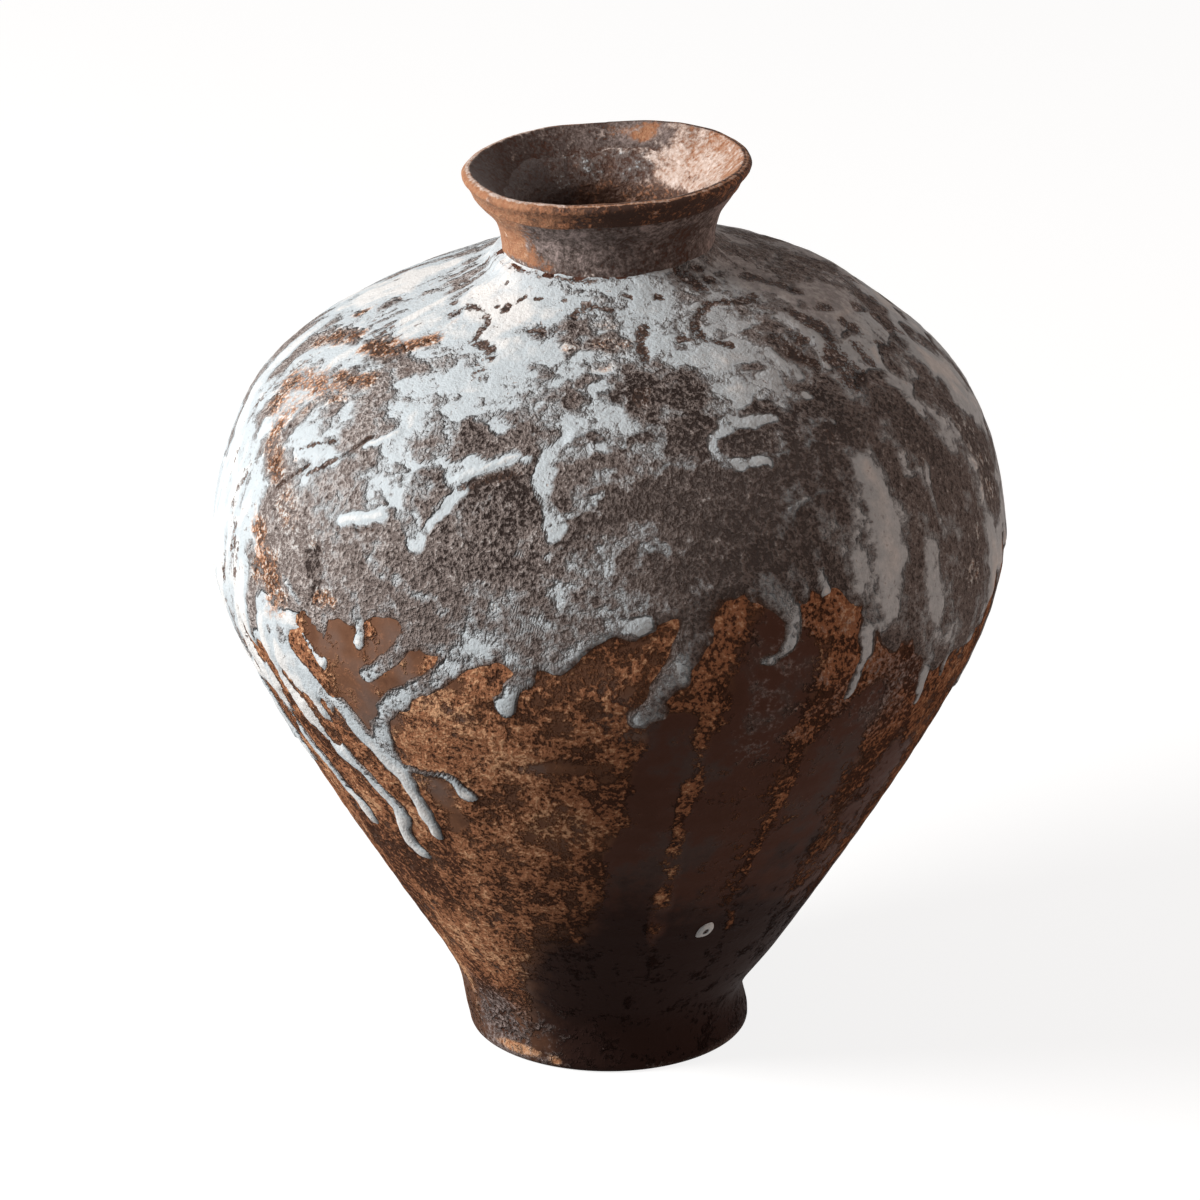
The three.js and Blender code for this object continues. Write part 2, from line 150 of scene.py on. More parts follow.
# Thick pale ash: soft pools, webs and streams on the shoulder
PALE_MARKS = (
    Mark(((-46, 247), (-36, 250), (-28, 252)), 5.5, 0.85),
    Mark(((-26, 246), (-20, 243)), 4.0, 0.85),
    Mark(((-27, 231), (-22, 234), (-16, 236)), 3.2, 0.8),
    Mark(((-29, 216), (-27, 221), (-24, 227)), 2.4, 0.8),
    Mark(((-37, 227), (-34, 221), (-30, 214)), 3.0, 0.7),
    Mark(((-59, 227), (-54, 228), (-49, 229)), 2.4, 0.75),
    Mark(((-6, 243), (-10, 238), (-10, 229), (-8, 219)), 3.4, 0.8),
    Mark(((1.4, 233.2), (-1.6, 232.4)), 2.2, 0.62),
    Mark(((0, 226.6), (-3.6, 226), (-7, 222)), 1.4, 0.60),
    Mark(((2, 240), (-3, 237), (-8, 236)), 3.0, 0.7),
    Mark(((26.5, 230.8), (21.5, 231), (19.2, 235.3), (19.7, 240), (26, 241.6), (32, 239)), 2.3, 0.76),
    Mark(((27, 247), (36, 248), (43.5, 247.5)), 4.4, 0.9),
    Mark(((30, 255), (38, 255.4), (41, 250.5), (38, 247)), 5.0, 0.88),
    Mark(((41, 258.6), (48, 259), (56, 258)), 3.6, 0.80),
    Mark(((57.5, 252.5), (55.5, 248.5), (53.6, 245)), 1.8, 0.95),
    Mark(((41.5, 243), (43, 242.3)), 2.0, 0.75),
    Mark(((41, 236), (42.3, 235.4)), 1.9, 0.75),
    Mark(((44.5, 215), (44.5, 205), (42, 195)), 13.0, 0.82),
    Mark(((48.5, 226), (46.5, 217)), 3.4, 0.58),
    Mark(((41.5, 195), (40.5, 183)), 8.0, 0.82),
    Mark(((33, 216), (35, 208), (37, 196)), 4.0, 0.5),
    Mark(((58.5, 214), (57, 204), (56, 195)), 1.5, 0.60),
    Mark(((60, 196), (59, 182), (57, 166)), 7.0, 0.54),
    Mark(((-59, 177), (-53, 175), (-48.5, 178)), 3.8, 1.1),
    Mark(((82, 240), (84, 228), (82, 214)), 3.0, 0.6),
    Mark(((-66, 208), (-62, 196), (-55, 180)), 4.0, 0.85),
    Mark(((-100, 243), (-94, 236.4), (-89, 229), (-84, 221)), 5.0, 1.0),
    Mark(((-78, 216), (-75, 190), (-68, 164)), 10.0, 0.85),
    Mark(((-36, 205), (-30, 199), (-24, 196)), 3.4, 0.5),
    Mark(((-20, 201), (-17, 198)), 2.6, 0.5),
    Mark(((-13, 192), (-9, 193)), 2.8, 0.6),
    Mark(((-8, 178), (-4, 180), (0, 187)), 3.0, 0.55),
    Mark(((6, 214), (9, 213)), 2.0, 0.6),
)

# Raised lips of glaze that catch the light; their pale colour is partly thick glaze and partly a painted
# highlight
GLAZE_RIDGES = (
    Mark(((-25, 230), (-20, 234), (-16, 236.3), (-13.5, 235.5)), 1.4, 1.0),
    Mark(((-43, 214.5), (-39, 217), (-36, 218.5)), 2.1, 1.0),
    Mark(((-45, 233.8), (-42.6, 236), (-40.8, 237.8)), 1.4, 1.0),
    Mark(((-62, 230), (-60.5, 231.6), (-59, 233.4)), 1.4, 0.9),
    Mark(((-57, 226), (-54, 228), (-50, 230)), 1.2, 0.6),
    Mark(((-29, 221), (-26, 226)), 1.3, 0.5),
    Mark(((-70, 212), (-67, 200), (-62, 188)), 1.5, 0.6),
    Mark(((-6.8, 239), (-6.2, 241.5)), 1.3, 0.7),
    Mark(((-53, 190), (-49, 185)), 1.8, 0.6),
)

# Cracks and crawled places where the glaze has drawn back to dark gritty clay
CRAWL_MARKS = (
    Mark(((-62, 259.8), (-57.5, 262.4), (-50, 262.6), (-44, 261.4), (-41.8, 258)), 1.3, 1.0),
    Mark(((-41.8, 258), (-37, 257.6), (-32, 255.6)), 1.9, 0.95),
    Mark(((-36, 254), (-30, 252)), 2.4, 0.6),
    Mark(((-71, 263), (-78, 263.4), (-85, 262.4)), 1.2, 0.75),
    Mark(((-88.8, 268), (-87.5, 265.8)), 1.0, 0.9),
    Mark(((-101, 261.4), (-97, 257)), 1.0, 0.85),
    Mark(((-12.5, 263.5), (-6.3, 266.8), (2, 265.6)), 1.4, 0.85),
    Mark(((58, 262.6), (47.5, 262), (43, 263.9), (33.5, 263), (29, 261.2), (28, 257.2)), 1.6, 1.0),
    Mark(((23.7, 259.4), (28, 257.4), (35.5, 255.8)), 1.5, 1.0),
    Mark(((40, 270.6), (41, 267.4)), 2.2, 1.0),
    Mark(((48, 269.9), (50, 269.5)), 1.4, 1.1),
    Mark(((48, 267.8), (49.6, 267.2)), 1.1, 1.1),
    Mark(((12, 262), (11, 256)), 2.2, 0.9),
    Mark(((66, 265.6), (70, 262.4), (71.5, 260.1)), 2.2, 1.15),
    Mark(((61.5, 257.7), (62.4, 254), (60.2, 250.7)), 2.8, 1.15),
    Mark(((70, 256.2), (71.6, 255.4)), 2.0, 1.15),
    Mark(((94, 247.2), (95.5, 246.4)), 1.8, 1.1),
    Mark(((81, 250.8), (83.4, 249)), 2.2, 1.15),
    Mark(((84.5, 242.6), (82, 240.4), (80.7, 238.6)), 2.6, 1.1),
    Mark(((70.4, 250.4), (71.8, 248.8)), 2.4, 1.15),
    Mark(((73, 242.6), (74.4, 241)), 2.2, 1.05),
    Mark(((101, 255), (104, 254)), 1.5, 0.9),
    Mark(((52, 253.4), (54, 252.8)), 1.5, 0.95),
    Mark(((46.8, 254.2), (48.6, 250.6), (50.6, 247)), 2.6, 1.05),
    Mark(((57.6, 246.6), (56.4, 240.4)), 5.0, 1.0),
    Mark(((66, 246), (65, 242)), 2.2, 0.9),
    Mark(((-61, 213), (-58, 220), (-55, 224.5)), 0.9, 1.0),
    Mark(((-54, 222.4), (-50, 228), (-46.8, 233.2), (-45.6, 236.4)), 0.9, 1.0),
    Mark(((-59, 228), (-55, 230.4), (-52.5, 232)), 0.8, 0.9),
    # These two lines lie just under the ridges above: dark crawled cracks that also stand as painted shadow
    # under the ridges.
    Mark(((-24, 228), (-19, 231.5), (-14, 232)), 1.5, 0.85),
    Mark(((-43, 212.4), (-37, 215.6)), 1.0, 0.75),
    Mark(((-46.6, 263.9), (-46, 263.9)), 0.9, 1.2),
    Mark(((-41, 264.4), (-39.4, 264.5)), 1.2, 1.2),
    Mark(((-38.5, 266.1), (-37.8, 266.8)), 0.9, 1.2),
    Mark(((-31.6, 266.7), (-30.6, 266.8)), 1.0, 1.2),
    Mark(((-52.4, 267.4), (-51.4, 267.5)), 0.9, 1.1),
    Mark(((-39.8, 260.5), (-38.6, 260.6)), 1.1, 1.1),
    Mark(((-22.6, 260.8), (-21.4, 260.2)), 1.1, 1.1),
    Mark(((-17.6, 266.5), (-16, 266.4)), 1.0, 0.9),
    Mark(((9, 268), (10, 268)), 0.9, 1.1),
    Mark(((21, 267.4), (22.5, 267)), 1.0, 1.1),
    Mark(((-84, 240), (-82, 224)), 1.2, 0.6),
    Mark(((-88, 214), (-86, 192)), 1.2, 0.6),
)

# Thin places on the shoulder where the coat has burnt to rust over the clay, and dark gritty hollows
RUST_MARKS = (
    Mark(((-70, 250), (-62, 251.6), (-56, 255.4)), 3.8, 0.95),
    Mark(((-85, 247), (-79, 249)), 3.4, 0.9),
    Mark(((-89, 243.4), (-86.5, 244.6)), 2.4, 0.75),
    Mark(((-93.5, 250), (-92, 251.4)), 2.0, 0.85),
    Mark(((-66, 244), (-58, 246)), 3.4, 0.85),
    Mark(((-78, 237.5), (-72, 240.5), (-65, 241.5)), 7.0, 0.82),
    Mark(((-75, 232.5), (-68, 234)), 5.5, 0.74),
    Mark(((-69, 229), (-62, 218)), 4.0, 0.80),
    Mark(((-58, 215), (-54, 212)), 5.0, 0.60),
    Mark(((-62, 201), (-60, 195)), 4.6, 0.82),
    Mark(((-59.4, 193), (-55.0, 182)), 7.0, 0.84),
    Mark(((-56, 259), (-49, 259.6)), 2.6, 0.46),
    Mark(((-12, 262.3), (-5, 262.6), (1, 262.6)), 2.8, 0.50),
    Mark(((-32, 262), (-28, 261.6)), 2.2, 0.44),
    Mark(((-4, 254.6), (6, 254.4)), 2.4, 0.42),
    Mark(((-62, 222), (-54, 214), (-50, 206)), 6.0, 0.40),
    Mark(((-45.5, 188), (-43, 187)), 2.2, 0.8),
    Mark(((-11, 259), (6, 258.6)), 2.6, 0.6),
    Mark(((20, 191), (22.5, 187)), 2.2, 0.7),
    Mark(((74, 212), (76, 194)), 8.0, 0.42),
    Mark(((66, 188), (64, 178)), 4.0, 0.45),
)
DARK_MARKS = (
    Mark(((3, 250), (10, 251), (17, 249)), 6.5, 0.95),
    Mark(((20, 252), (24, 251)), 3.0, 0.7),
    Mark(((8, 243), (16, 240)), 5.0, 0.5),
    Mark(((24.5, 236.4), (28.5, 236.6)), 3.0, 1.0),
    Mark(((-22, 228), (-16, 229), (-11.5, 226)), 4.0, 0.9),
    Mark(((-19, 222), (-17, 212)), 7.0, 0.45),
    Mark(((12, 225), (5, 227), (0, 222), (-5, 217)), 5.5, 0.85),
    Mark(((-30, 243), (-26, 240)), 4.0, 0.5),
    Mark(((-72, 250), (-64, 247), (-57, 252)), 4.0, 0.8),
    Mark(((-47.5, 203), (-46.4, 189)), 3.0, 1.75),
    Mark(((-43, 209), (-38, 206)), 4.0, 0.55),
    Mark(((37.5, 240), (36.5, 235), (35, 229)), 4.0, 0.8),
    Mark(((46, 240), (44, 230), (38, 222)), 5.0, 0.7),
    Mark(((28, 228), (24, 222), (18, 219)), 6.0, 0.55),
    Mark(((26, 214), (27, 202)), 6.0, 0.5),
    Mark(((57, 232), (62, 216)), 5.0, 0.55),
    Mark(((31, 206), (32, 198)), 4.0, 0.5),
    Mark(((74, 222), (78, 204)), 6.0, 0.5),
    Mark(((10, 206), (16, 200)), 5.0, 0.45),
)

# The bare lower wall: smooth dark streaks, smooth brown pools, and rough ridges between the streaks
DARK_STREAKS = (
    Mark(((24.5, 176), (23, 160), (20, 129), (19.2, 88), (21, 40), (22, 10)), 12.2, 1.0),
    Mark(((10, 153), (7.5, 125), (4.5, 88), (0, 45), (-2, 10)), 7.5, 0.95),
    Mark(((39, 148), (35.5, 115), (36, 78), (44, 34)), 10.6, 0.95),
    Mark(((56, 122), (53, 90), (50, 50)), 9.0, 0.7),
    Mark(((78, 130), (76, 90), (72, 40)), 10.0, 0.8),
    Mark(((104, 150), (102, 100), (98, 45)), 9.0, 0.9),
    Mark(((131, 160), (130, 110), (128, 40)), 12.0, 0.9),
    Mark(((165, 145), (163, 90), (160, 30)), 10.0, 0.9),
    Mark(((-160, 160), (-158, 100), (-155, 40)), 11.0, 0.9),
    Mark(((-124, 150), (-124, 100), (-120, 40)), 9.0, 0.85),
    Mark(((-94, 140), (-94, 90), (-90, 40)), 8.0, 0.8),
)
SMOOTH_POOLS = (
    Mark(((-44.5, 184), (-43, 174), (-39.5, 164), (-37.4, 152)), 8.4, 1.0),
    Mark(((-34, 185), (-32, 181), (-34.5, 172)), 5.6, 0.9),
    Mark(((-29, 176), (-32.5, 166)), 6.0, 0.95),
    Mark(((-24, 168), (-21, 170)), 3.0, 0.55),
    Mark(((-29.5, 126), (-28, 112)), 4.6, 0.85),
    Mark(((-12, 140), (0, 142)), 2.2, 0.5),
)
ROUGH_RIDGES = (
    Mark(((13.7, 156), (12.8, 114), (11.8, 81), (13.8, 40)), 2.2, 1.0),
    Mark(((32.9, 150), (31, 132), (28.9, 112), (28.6, 76), (32, 46)), 1.2, 0.95),
    Mark(((-16, 143), (-7, 148), (5, 145)), 1.3, 0.8),
    Mark(((-47, 46), (-43.4, 38), (-40.4, 28)), 1.5, 0.9),
    Mark(((-20.6, 58), (-20.4, 72)), 1.8, 0.6),
    Mark(((-8, 63), (-7.6, 60)), 2.0, 0.8),
    Mark(((-9, 47), (-8, 44)), 2.0, 0.75),
)

# Columns and rows of the meshes; the hidden back of the coat has one column for several of its front
COAT_COLUMNS, COAT_ROWS = 640, 144
COAT_BACK_STEP, COAT_BACK_ROWS = 4, 30
CLAY_COLUMNS = 480
NECK_COLUMNS = 420
LINER_COLUMNS = 300

# Lengths in metres: how far the lower body's boss stands inside the waist, how far its underside
# lies above the recess, and where up the meridian the inner face of the wall begins
BOSS_STEP = 0.006
FLOOR_GAP = 0.0006
INNER_START = 0.030
# Lengths in metres from a seam: of the row that keeps its edge crisp, and where the skin is fully rough
SEAM_LOOP = 0.00004
SEAM_FADE = 0.004


def length(name, description, default):
    """A size property in metres."""
    return bpy.props.FloatProperty(
        name=name, description=description, default=default, unit="LENGTH", precision=4
    )


def angle(name, description, default):
    """An angle property, with its default given in degrees."""
    return bpy.props.FloatProperty(
        name=name, description=description, default=math.radians(default), subtype="ANGLE"
    )


def colour(name, description, default):
    """A colour property in linear light."""
    return bpy.props.FloatVectorProperty(
        name=name, description=description, default=default, subtype="COLOR", size=3, min=0, max=1
    )


def share(name, description, default):
    """A share from 0 to 1."""
    return bpy.props.FloatProperty(
        name=name, description=description, default=default, subtype="FACTOR", min=0, max=1
    )


class VaseForm(bpy.types.PropertyGroup):
    """Sizes of the thrown clay, as in the solids"""

    overall_height: length("Overall height", "Height of the lip on the wheel axis", 0.300)
    belly_radius: length("Belly radius", "Widest radius of the wall", 0.128)
    belly_height: length("Belly height", "Height of the widest ring", 0.171)
    belly_fullness: length("Belly fullness", "How far below the belly the flank stays upright", 0.029)
    flank_rise: angle("Flank rise", "Slope of the flank at the waist", 57)
    flank_sweep: length("Flank sweep", "How far the flank holds that slope", 0.036)
    shoulder_fullness: length(
        "Shoulder fullness", "How far above the belly the shoulder stays upright", 0.070
    )
    shoulder_sweep: length("Shoulder sweep", "How far the shoulder holds its slope below the neck", 0.046)
    shoulder_slope: angle("Shoulder slope", "Slope of the shoulder at the neck", 29.5)
    neck_radius: length("Neck radius", "Outer radius of the neck at the shoulder", 0.0338)
    neck_height: length("Neck height", "From the shoulder to the lip", 0.028)
    neck_straight: length("Neck straight", "How far the neck rises before it flares", 0.012)
    neck_wall: length("Neck wall", "Thickness of the neck", 0.006)
    lip_flare: length("Lip flare", "How far the lip stands out beyond the neck", 0.013)
    lip_roll_width: length("Lip roll width", "Half width of the rolled lip", 0.0022)
    lip_roll_height: length("Lip roll height", "Height of the rolled lip above its middle", 0.0018)
    lip_sweep: length("Lip sweep", "How far the flare under the lip holds its slope", 0.009)
    throat_depth: length("Throat depth", "Depth of the funnel under the lip", 0.020)
    funnel_sweep: length("Funnel sweep", "How far the funnel holds its slope at each end", 0.008)
    funnel_slope: angle("Funnel slope", "Slope of the funnel at the lip", 40)
    foot_radius: length("Foot radius", "Outer radius of the foot at the floor", 0.0445)
    foot_height: length("Foot height", "Height of the foot ring", 0.024)
    foot_ring_width: length("Foot ring width", "Width of the ring that the vase stands on", 0.009)
    foot_recess: length("Foot recess", "Depth of the turned hollow under the foot", 0.008)
    waist_radius: length("Waist radius", "Outer radius where the foot meets the flank", 0.050)
    wall: length("Wall", "Thickness of the flank and shoulder", 0.0065)
    floor: length("Floor", "Thickness of the floor", 0.009)
    seam_height: length("Seam height", "Height of the luted seam between the two halves", 0.160)
    lean: angle("Lean", "Tilt of the upper half, as it was left on the wheel", 2.6)
    lean_shift: length("Lean shift", "Sideways drift of the upper half", -0.0012)
    lean_start: length("Lean start", "Height at which the lean begins", 0.128)
    lean_end: length("Lean end", "Height at which the lean is full", 0.245)


class ClayLook(bpy.types.PropertyGroup):
    """Colours of the fired clay"""

    rust: colour("Rust", "Rough rust-brown skin of the lower wall", (0.300, 0.131, 0.068))
    fleck: colour("Fleck", "Pale grog flecks in the rough skin", (0.560, 0.315, 0.180))
    pit: colour("Pit", "Dark hollows between the flecks", (0.064, 0.029, 0.019))
    pool: colour("Pool", "Smooth brown pools under the drips", (0.140, 0.068, 0.040))
    streak: colour("Streak", "Smooth dark streaks of fused slip", (0.080, 0.038, 0.028))
    # Smoke is also the painted shade tone inside the mouth.
    smoke_and_shade: colour("Smoke", "Grey bloom on the streaks and pools", (0.072, 0.053, 0.048))
    # Soot also serves as painted shade, darkening the shaded right side of the lower wall.
    soot: colour("Soot", "Blackened clay of the foot", (0.026, 0.0135, 0.011))
    orange: colour("Orange", "Flashed orange of the neck", (0.310, 0.150, 0.082))
    trace: colour("Trace", "Lilac-grey traces of ash on the foot", (0.300, 0.235, 0.220))
    blush: colour("Blush", "Thin grey ash on the neck", (0.132, 0.102, 0.092))
    lip: colour("Lip", "Dark brown rolled lip", (0.048, 0.025, 0.018))
    # Inside is also painted light: the lit inner right wall of the mouth, and the painted highlights on the
    # lip's crest and the foot's edge.
    inside: colour("Inside", "Pinkish bare clay inside the lip", (0.430, 0.305, 0.245))
    salt: colour("Salt", "Pale grains of ash inside the lip", (0.680, 0.580, 0.530))


class GlazeLook(bpy.types.PropertyGroup):
    """Colours of the ash glaze"""

    pale: colour("Pale ash", "Thick pale blue-grey ash glaze", (0.450, 0.497, 0.527))
    # Veil is partly thin ash and partly painted shade: a darker, warmer ash on the shaded right of the
    # shoulder.
    veil_and_shade: colour("Veil", "Thin even ash on the right of the shoulder", (0.250, 0.208, 0.192))
    milk: colour("Milk", "Whitest pools of the ash glaze", (0.632, 0.630, 0.624))
    grit_light: colour("Grit light", "Light grains of the thin gritty coat", (0.420, 0.375, 0.358))
    grit_mid: colour("Grit", "Body of the thin gritty coat", (0.178, 0.145, 0.133))
    # Grit shade is painted shade: a darker, even thin coat on the shaded right side.
    grit_painted_shade: colour("Grit shade", "Calmer thin coat of the right side", (0.128, 0.101, 0.092))
    grit_dark: colour("Grit dark", "Dark grains of the thin gritty coat", (0.030, 0.020, 0.017))
    rust: colour("Burnt rust", "Coat burnt thin over the clay", (0.270, 0.115, 0.052))
    flush: colour("Flush", "Pale orange flush round the burnt places", (0.500, 0.345, 0.260))
    edge: colour("Edge", "Brown line where the coat thins to nothing", (0.070, 0.038, 0.026))
    liner: colour("Liner", "Brown glaze that lines the inside", (0.085, 0.045, 0.030))


class StageLook(bpy.types.PropertyGroup):
    """Camera, floor and studio lights"""

    camera_distance: length("Camera distance", "From the camera to the middle of the vase", 2.3)
    camera_rise: angle("Camera rise", "Height of the camera above the horizon", 21.88)
    camera_aim: length("Camera aim", "Height on the axis that the camera looks at", 0.150)
    lens_mm: bpy.props.FloatProperty(
        name="Lens", description="Focal length", default=211.98, subtype="DISTANCE_CAMERA"
    )
    shift_x: bpy.props.FloatProperty(
        name="Shift X", description="Sideways shift of the frame", default=-0.0082
    )
    shift_y: bpy.props.FloatProperty(
        name="Shift Y", description="Upward shift of the frame", default=-0.0013
    )
    key_power: bpy.props.FloatProperty(
        name="Key", description="Softbox on the left", default=58.0, subtype="POWER"
    )
    fill_power: bpy.props.FloatProperty(
        name="Fill", description="Weak softbox on the right", default=19.0, subtype="POWER"
    )
    sky: share("Sky", "Even light from all round", 0.225)
    floor_tone: share("Floor tone", "How much of the key light the floor shows", 0.24)
    floor_glow: share("Floor glow", "How bright the floor shows by itself", 0.84)
    floor_bounce: share("Floor bounce", "How much light the floor throws back on the vase", 0.26)


# Shapes

def bezier(start, first, second, end, count):
    """Points along a cubic curve."""
    t = np.linspace(0, 1, count)[:, None]
    p0, p1, p2, p3 = (np.array(p, float) for p in (start, first, second, end))
    return (1 - t) ** 3 * p0 + 3 * (1 - t) ** 2 * t * p1 + 3 * (1 - t) * t**2 * p2 + t**3 * p3


def smooth(low, high, value):
    """0 below low, 1 above high and a smooth rise between; high below low makes it fall."""
    t = np.clip((np.asarray(value, float) - low) / (high - low), 0, 1)
    return t * t * (3 - 2 * t)


def even(path, count):
    """A path resampled to evenly spaced points."""
    run = np.concatenate([[0], np.cumsum(np.linalg.norm(np.diff(path, axis=0), axis=1))])
    at = np.linspace(0, run[-1], count)
    return np.stack([np.interp(at, run, path[:, i]) for i in range(path.shape[1])], axis=1)


def grain(cells, seed):
    """A repeatable random value from 0 to 1 for each whole-numbered cell."""
    x, y, z = (cells[..., i].astype(np.int64).astype(np.uint32) for i in range(3))
    mixed = (x * np.uint32(2654435761)) ^ (y * np.uint32(2246822519)) ^ (z * np.uint32(3266489917))
    mixed = mixed ^ np.uint32((seed * 668265263) % 2**32)
    mixed = (mixed ^ (mixed >> np.uint32(15))) * np.uint32(739982445)
    mixed = (mixed ^ (mixed >> np.uint32(12))) * np.uint32(695872825)
    mixed = mixed ^ (mixed >> np.uint32(15))
    return (mixed & np.uint32(0xFFFFFF)) / 0xFFFFFF


def cloud(points, size, seed, octaves=3):
    """Smooth noise, mostly from -1 to 1, whose largest blotches are about size across."""
    total = np.zeros(len(points))
    weight = 1.0
    for octave in range(octaves):
        scaled = points / size * 2**octave + 31.7 * octave
        cell = np.floor(scaled)
        part = scaled - cell
        part = part * part * (3 - 2 * part)
        for corner in itertools.product((0, 1), repeat=3):
            corner = np.array(corner)
            near = np.prod(np.where(corner, part, 1 - part), axis=1)
            total += weight * near * (2 * grain(cell + corner, seed + octave) - 1)
        weight *= 0.5
    return total * 1.25


class Wall:
    """Outer face of flank, shoulder and neck base, by metres up its meridian from the waist."""

    def __init__(self, form):
        self.form = form
        crease_height = form.overall_height - form.neck_height
        waist = np.array([form.waist_radius, form.foot_height])
        belly = np.array([form.belly_radius, form.belly_height])
        crease = np.array([form.neck_radius, crease_height])
        rise = np.array([math.cos(form.flank_rise), math.sin(form.flank_rise)])
        fall = np.array([math.cos(form.shoulder_slope), -math.sin(form.shoulder_slope)])
        flank = bezier(
            waist,
            waist + rise * form.flank_sweep,
            belly - (0, form.belly_fullness),
            belly,
            400,
        )
        shoulder = bezier(
            belly,
            belly + (0, form.shoulder_fullness),
            crease + fall * form.shoulder_sweep,
            crease,
            400,
        )
        turn, neck_reach, neck_rows = 0.0035, 0.009, 10
        fillet = bezier(
            crease + fall * turn,
            crease + fall * turn * 0.35,
            crease + (0, turn * 0.35),
            crease + (0, turn),
            40,
        )
        shoulder_part = shoulder[np.linalg.norm(shoulder - crease, axis=1) > turn]
        neck_heights = np.linspace(crease_height + turn, crease_height + neck_reach, neck_rows)
        neck = np.stack([np.full(neck_rows, form.neck_radius), neck_heights], 1)
        path = even(np.vstack([flank, shoulder_part[1:], fillet[:-1], neck]), 3000)
        step = np.linalg.norm(np.diff(path, axis=0), axis=1)
        self.along = np.concatenate([[0], np.cumsum(step)])
        self.radius, self.height = path[:, 0], path[:, 1]
        self.out_r = np.gradient(self.height, self.along)
        self.out_z = -np.gradient(self.radius, self.along)
        self.end = self.along[-1]
        self.seam = self.at_height(form.seam_height)
        self.crease = self.at_height(crease_height - 0.0004)

    def at_height(self, height):
        """Distance up the meridian at a height."""
        return np.interp(height, self.height, self.along)

    def face(self, along, off=0.0):
        """Radius and height at a distance up the meridian, off the outer face."""
        r = np.interp(along, self.along, self.radius) + off * np.interp(along, self.along, self.out_r)
        z = np.interp(along, self.along, self.height) + off * np.interp(along, self.along, self.out_z)
        return r, z

    def inner(self, start, end, count):
        """Rows of (radius, height) on the inner face between two distances up the meridian."""
        return np.stack(self.face(np.linspace(start, end, count), -self.form.wall), axis=1)

    def points(self, azimuth, along, off=0.0):
        """Places on the wall as thrown: uneven and leaning."""
        r, z = self.face(along, off)
        return thrown(azimuth, r, z, self.form)


def thrown(azimuth, radius, height, form):
    """Turns azimuth (radians), radius and height into places on the hand-thrown, leaning vase."""
    azimuth, radius, height = np.broadcast_arrays(azimuth, radius, height)
    degrees = np.degrees(azimuth)
    out = np.zeros(radius.shape)
    for push in HAND_PUSHES:
        turn = (degrees - push.azimuth + 180) % 360 - 180
        across = (turn / push.spread_deg) ** 2
        up = ((height / MM - push.height) / push.spread_mm) ** 2
        out += push.out * np.exp(-across - up)
    below_neck = smooth(form.neck_radius, form.neck_radius + 0.010, radius)
    outside = smooth(0.3, 0.8, radius / form.belly_radius)
    wobble = 0.35 * np.sin(2 * azimuth + 0.6) + 0.22 * np.sin(3 * azimuth + 1.9 + height * 9)
    rings = 0.08 * np.sin(height / 0.0087 * 2 * math.pi + azimuth) * smooth(0.22, 0.15, height)
    radius = radius + MM * (out * below_neck + (wobble + rings) * outside)
    x = radius * np.sin(azimuth)
    y = -radius * np.cos(azimuth)
    lifted = smooth(form.lean_start, form.lean_end, height)
    z = height + x * math.tan(form.lean) * lifted
    return np.stack([x + form.lean_shift * lifted, y, z], axis=-1)


def rounded(places, rounds=2):
    """A path with its corners cut, and its two ends kept."""
    path = np.array(places, float)
    for _ in range(rounds):
        before, after = path[:-1], path[1:]
        cut = np.stack([0.75 * before + 0.25 * after, 0.25 * before + 0.75 * after], axis=1).reshape(-1, 2)
        path = np.vstack([path[:1], cut, path[-1:]]) if len(path) > 2 else even(path, 4)
    return path


def stroke(wall, places, points, reach):
    """Distance in mm from each point in reach to a stroke on the wall, and its share of the way."""
    path = rounded(places)
    line = wall.points(np.radians(path[:, 0]), wall.at_height(path[:, 1] * MM))
    away = np.full(len(points), 1e3)
    gone = np.zeros(len(points))
    low, high = line.min(0) - reach * MM, line.max(0) + reach * MM
    near = np.flatnonzero(np.all((points > low) & (points < high), axis=1))
    if len(near) == 0:
        return away, gone
    close = points[near]
    best = np.full(len(near), 1e3)
    where = np.zeros(len(near))
    run = np.concatenate([[0], np.cumsum(np.linalg.norm(np.diff(line, axis=0), axis=1))])
    for i, (a, b) in enumerate(zip(line[:-1], line[1:])):
        ab = b - a
        t = np.clip((close - a) @ ab / max(ab @ ab, 1e-12), 0, 1)
        d = np.linalg.norm(close - a - t[:, None] * ab, axis=1) / MM
        better = d < best
        best = np.where(better, d, best)
        where = np.where(better, (run[i] + t * (run[i + 1] - run[i])) / run[-1], where)
    away[near] = best
    gone[near] = where
    return away, gone


def marked(wall, marks, points, soft=1.0):
    """The strongest of a set of marks at each point, fading out across each mark's edge."""
    shown = np.zeros(len(points))
    for mark in marks:
        outer = mark.reach * (1 + soft)
        inner = mark.reach * (1 - 0.6 * soft)
        away, _ = stroke(wall, mark.places, points, outer + 2)
        shown = np.maximum(shown, mark.strength * smooth(outer, inner, away))
    return shown


def drawn_out(azimuth, around, climb):
    """Places for noise that is drawn out down the wall: round a circle of a radius, at a climb."""
    return np.stack([np.sin(azimuth) * around, -np.cos(azimuth) * around, climb], axis=1)


# Meshes

